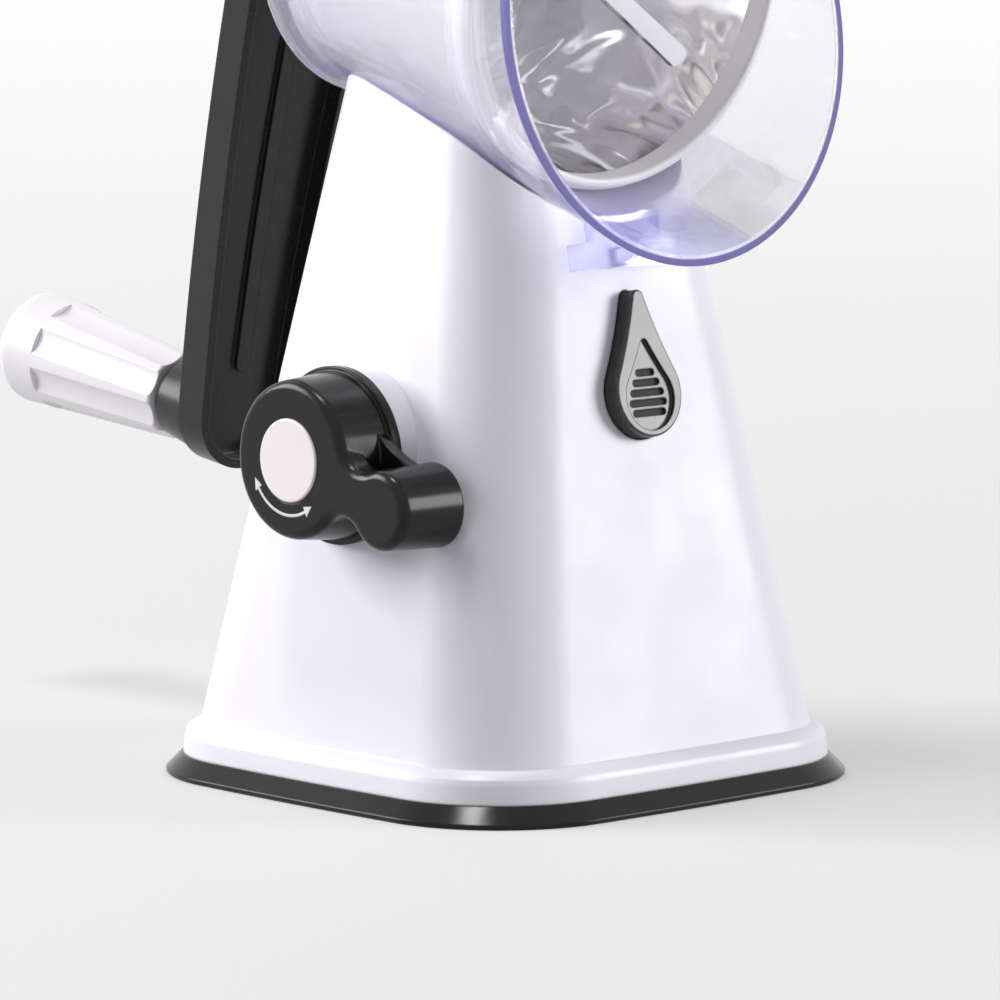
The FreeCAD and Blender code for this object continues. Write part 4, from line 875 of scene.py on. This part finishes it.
@dataclass(frozen=True)
class SoftBox:
    """A rectangular soft lamp that hangs in a direction from the object and faces it."""

    name: str
    azimuth: float
    elevation: float
    distance: float
    width: float
    height: float
    power: float

    def hang(self, aim: Vector) -> bpy.types.Object:
        """Hangs the lamp.

        Args:
            aim: The point that it faces.

        Returns:
            The lamp.
        """
        turn = math.radians(self.azimuth)
        rise = math.radians(self.elevation)
        out = Vector((math.cos(turn) * math.cos(rise), math.sin(turn) * math.cos(rise),
                      math.sin(rise)))
        data = bpy.data.lights.new(self.name, "AREA")
        data.shape = "RECTANGLE"
        data.size = self.width
        data.size_y = self.height
        data.energy = self.power
        lamp = bpy.data.objects.new(self.name, data)
        lamp.location = aim + out * self.distance
        lamp.rotation_euler = (-out).to_track_quat("-Z", "Y").to_euler()
        bpy.context.scene.collection.objects.link(lamp)
        return lamp


@dataclass
class Studio:
    """Pale floor that fades into white, soft lamps and the camera."""

    floor_half: float = 9.0
    floor_colour: Colour = (0.68, 0.68, 0.68)
    floor_roughness: float = 0.6
    floor_gloss: float = 0.2
    floor_share: float = 0.65
    fade_start: float = 0.25
    fade_per_m: float = 0.9
    fill: float = 0.26
    aim: Vector = field(default_factory=lambda: Vector((0.0, 0.0, 0.12)))
    boxes: tuple[SoftBox, ...] = (
        SoftBox("left_box", azimuth=128.0, elevation=24.0, distance=2.4, width=1.25,
                height=1.25, power=52.0),
        SoftBox("right_box", azimuth=-46.0, elevation=13.0, distance=2.4, width=1.05,
                height=1.0, power=33.0),
        SoftBox("top_box", azimuth=170.0, elevation=75.0, distance=1.33, width=0.29,
                height=0.29, power=6.4),
    )
    camera_place: Vector = field(default_factory=lambda: Vector((-1.0218, -1.087, 0.256)))
    camera_forward: Vector = field(default_factory=lambda: Vector((0.67887, 0.72343, -0.12568)))
    focal_length: float = 221.4
    sensor_width: float = 36.0
    sight: float = 50.0

    def floor_material(self) -> bpy.types.Material:
        """Makes the floor's pale paint, which fades out far from the object.

        Returns:
            The material.
        """
        graph = ShaderGraph("studio_floor")
        paint = graph.add("BsdfPrincipled", Roughness=self.floor_roughness,
                          Specular_IOR_Level=self.floor_gloss,
                          Base_Color=(*self.floor_colour, 1.0))
        away = graph.add("BsdfTransparent")
        coordinate = graph.add("TexCoord")
        distance = graph.add("VectorMath", operation="LENGTH")
        graph.join(coordinate.outputs["Object"], distance.inputs[0])
        past = graph.value("SUBTRACT", distance.outputs["Value"], self.fade_start)
        drop = graph.value("MULTIPLY", past, -self.fade_per_m)
        fading = graph.value("POWER", math.e, drop)
        near = graph.value("MINIMUM", fading, 1.0)
        share = graph.value("MULTIPLY", near, self.floor_share)
        fade = graph.add("MixShader")
        graph.join(share, fade.inputs["Fac"])
        graph.join(away.outputs["BSDF"], fade.inputs[1])
        graph.join(paint.outputs["BSDF"], fade.inputs[2])
        return graph.finish(fade)

    def build_floor(self) -> None:
        """Lays the floor under the object."""
        half = self.floor_half
        mesh = bpy.data.meshes.new("studio_floor")
        corners = [(-half, -half, 0.0), (half, -half, 0.0), (half, half, 0.0), (-half, half, 0.0)]
        mesh.from_pydata(corners, [], [(0, 1, 2, 3)])
        floor = bpy.data.objects.new("studio_floor", mesh)
        floor.data.materials.append(self.floor_material())
        bpy.context.scene.collection.objects.link(floor)

    def build_world(self) -> None:
        """Makes the surroundings white to the eye and a weaker even fill on the object."""
        world = bpy.data.worlds.new("studio_world")
        bpy.context.scene.world = world
        world.use_nodes = True
        tree = world.node_tree
        tree.nodes.clear()
        path = tree.nodes.new("ShaderNodeLightPath")
        background = tree.nodes.new("ShaderNodeBackground")
        background.inputs["Color"].default_value = (1.0, 1.0, 1.0, 1.0)
        seen = path.outputs["Is Camera Ray"]
        for ray in ("Is Glossy Ray", "Is Transmission Ray"):
            either = tree.nodes.new("ShaderNodeMath")
            either.operation = "MAXIMUM"
            tree.links.new(seen, either.inputs[0])
            tree.links.new(path.outputs[ray], either.inputs[1])
            seen = either.outputs["Value"]
        level = tree.nodes.new("ShaderNodeMapRange")
        level.inputs["To Min"].default_value = self.fill
        level.inputs["To Max"].default_value = 1.0
        tree.links.new(seen, level.inputs["Value"])
        tree.links.new(level.outputs["Result"], background.inputs["Strength"])
        output = tree.nodes.new("ShaderNodeOutputWorld")
        tree.links.new(background.outputs["Background"], output.inputs["Surface"])

    def build_camera(self) -> None:
        """Sets the camera at the viewing angle."""
        data = bpy.data.cameras.new("camera")
        data.lens = self.focal_length
        data.sensor_width = self.sensor_width
        data.clip_end = self.sight
        camera = bpy.data.objects.new("camera", data)
        camera.location = self.camera_place
        camera.rotation_euler = self.camera_forward.to_track_quat("-Z", "Y").to_euler()
        bpy.context.scene.collection.objects.link(camera)
        bpy.context.scene.camera = camera

    def build(self) -> None:
        """Sets up floor, surroundings, lamps and camera."""
        scene = bpy.context.scene
        scene.view_settings.view_transform = "Standard"
        self.build_floor()
        self.build_world()
        for box in self.boxes:
            box.hang(self.aim)
        self.build_camera()


def main() -> None:
    """Builds the studio and every sub-assembly in order."""
    logging.basicConfig(level=logging.INFO, format="%(name)s: %(message)s")
    Studio().build()
    book = FinishBook()
    for kind in (Tower, LockKnob, ReleaseButton, Housing, Crank, Drum):
        part = kind(book)
        part.build()
        part.dress()


if __name__ == "__main__":
    main()
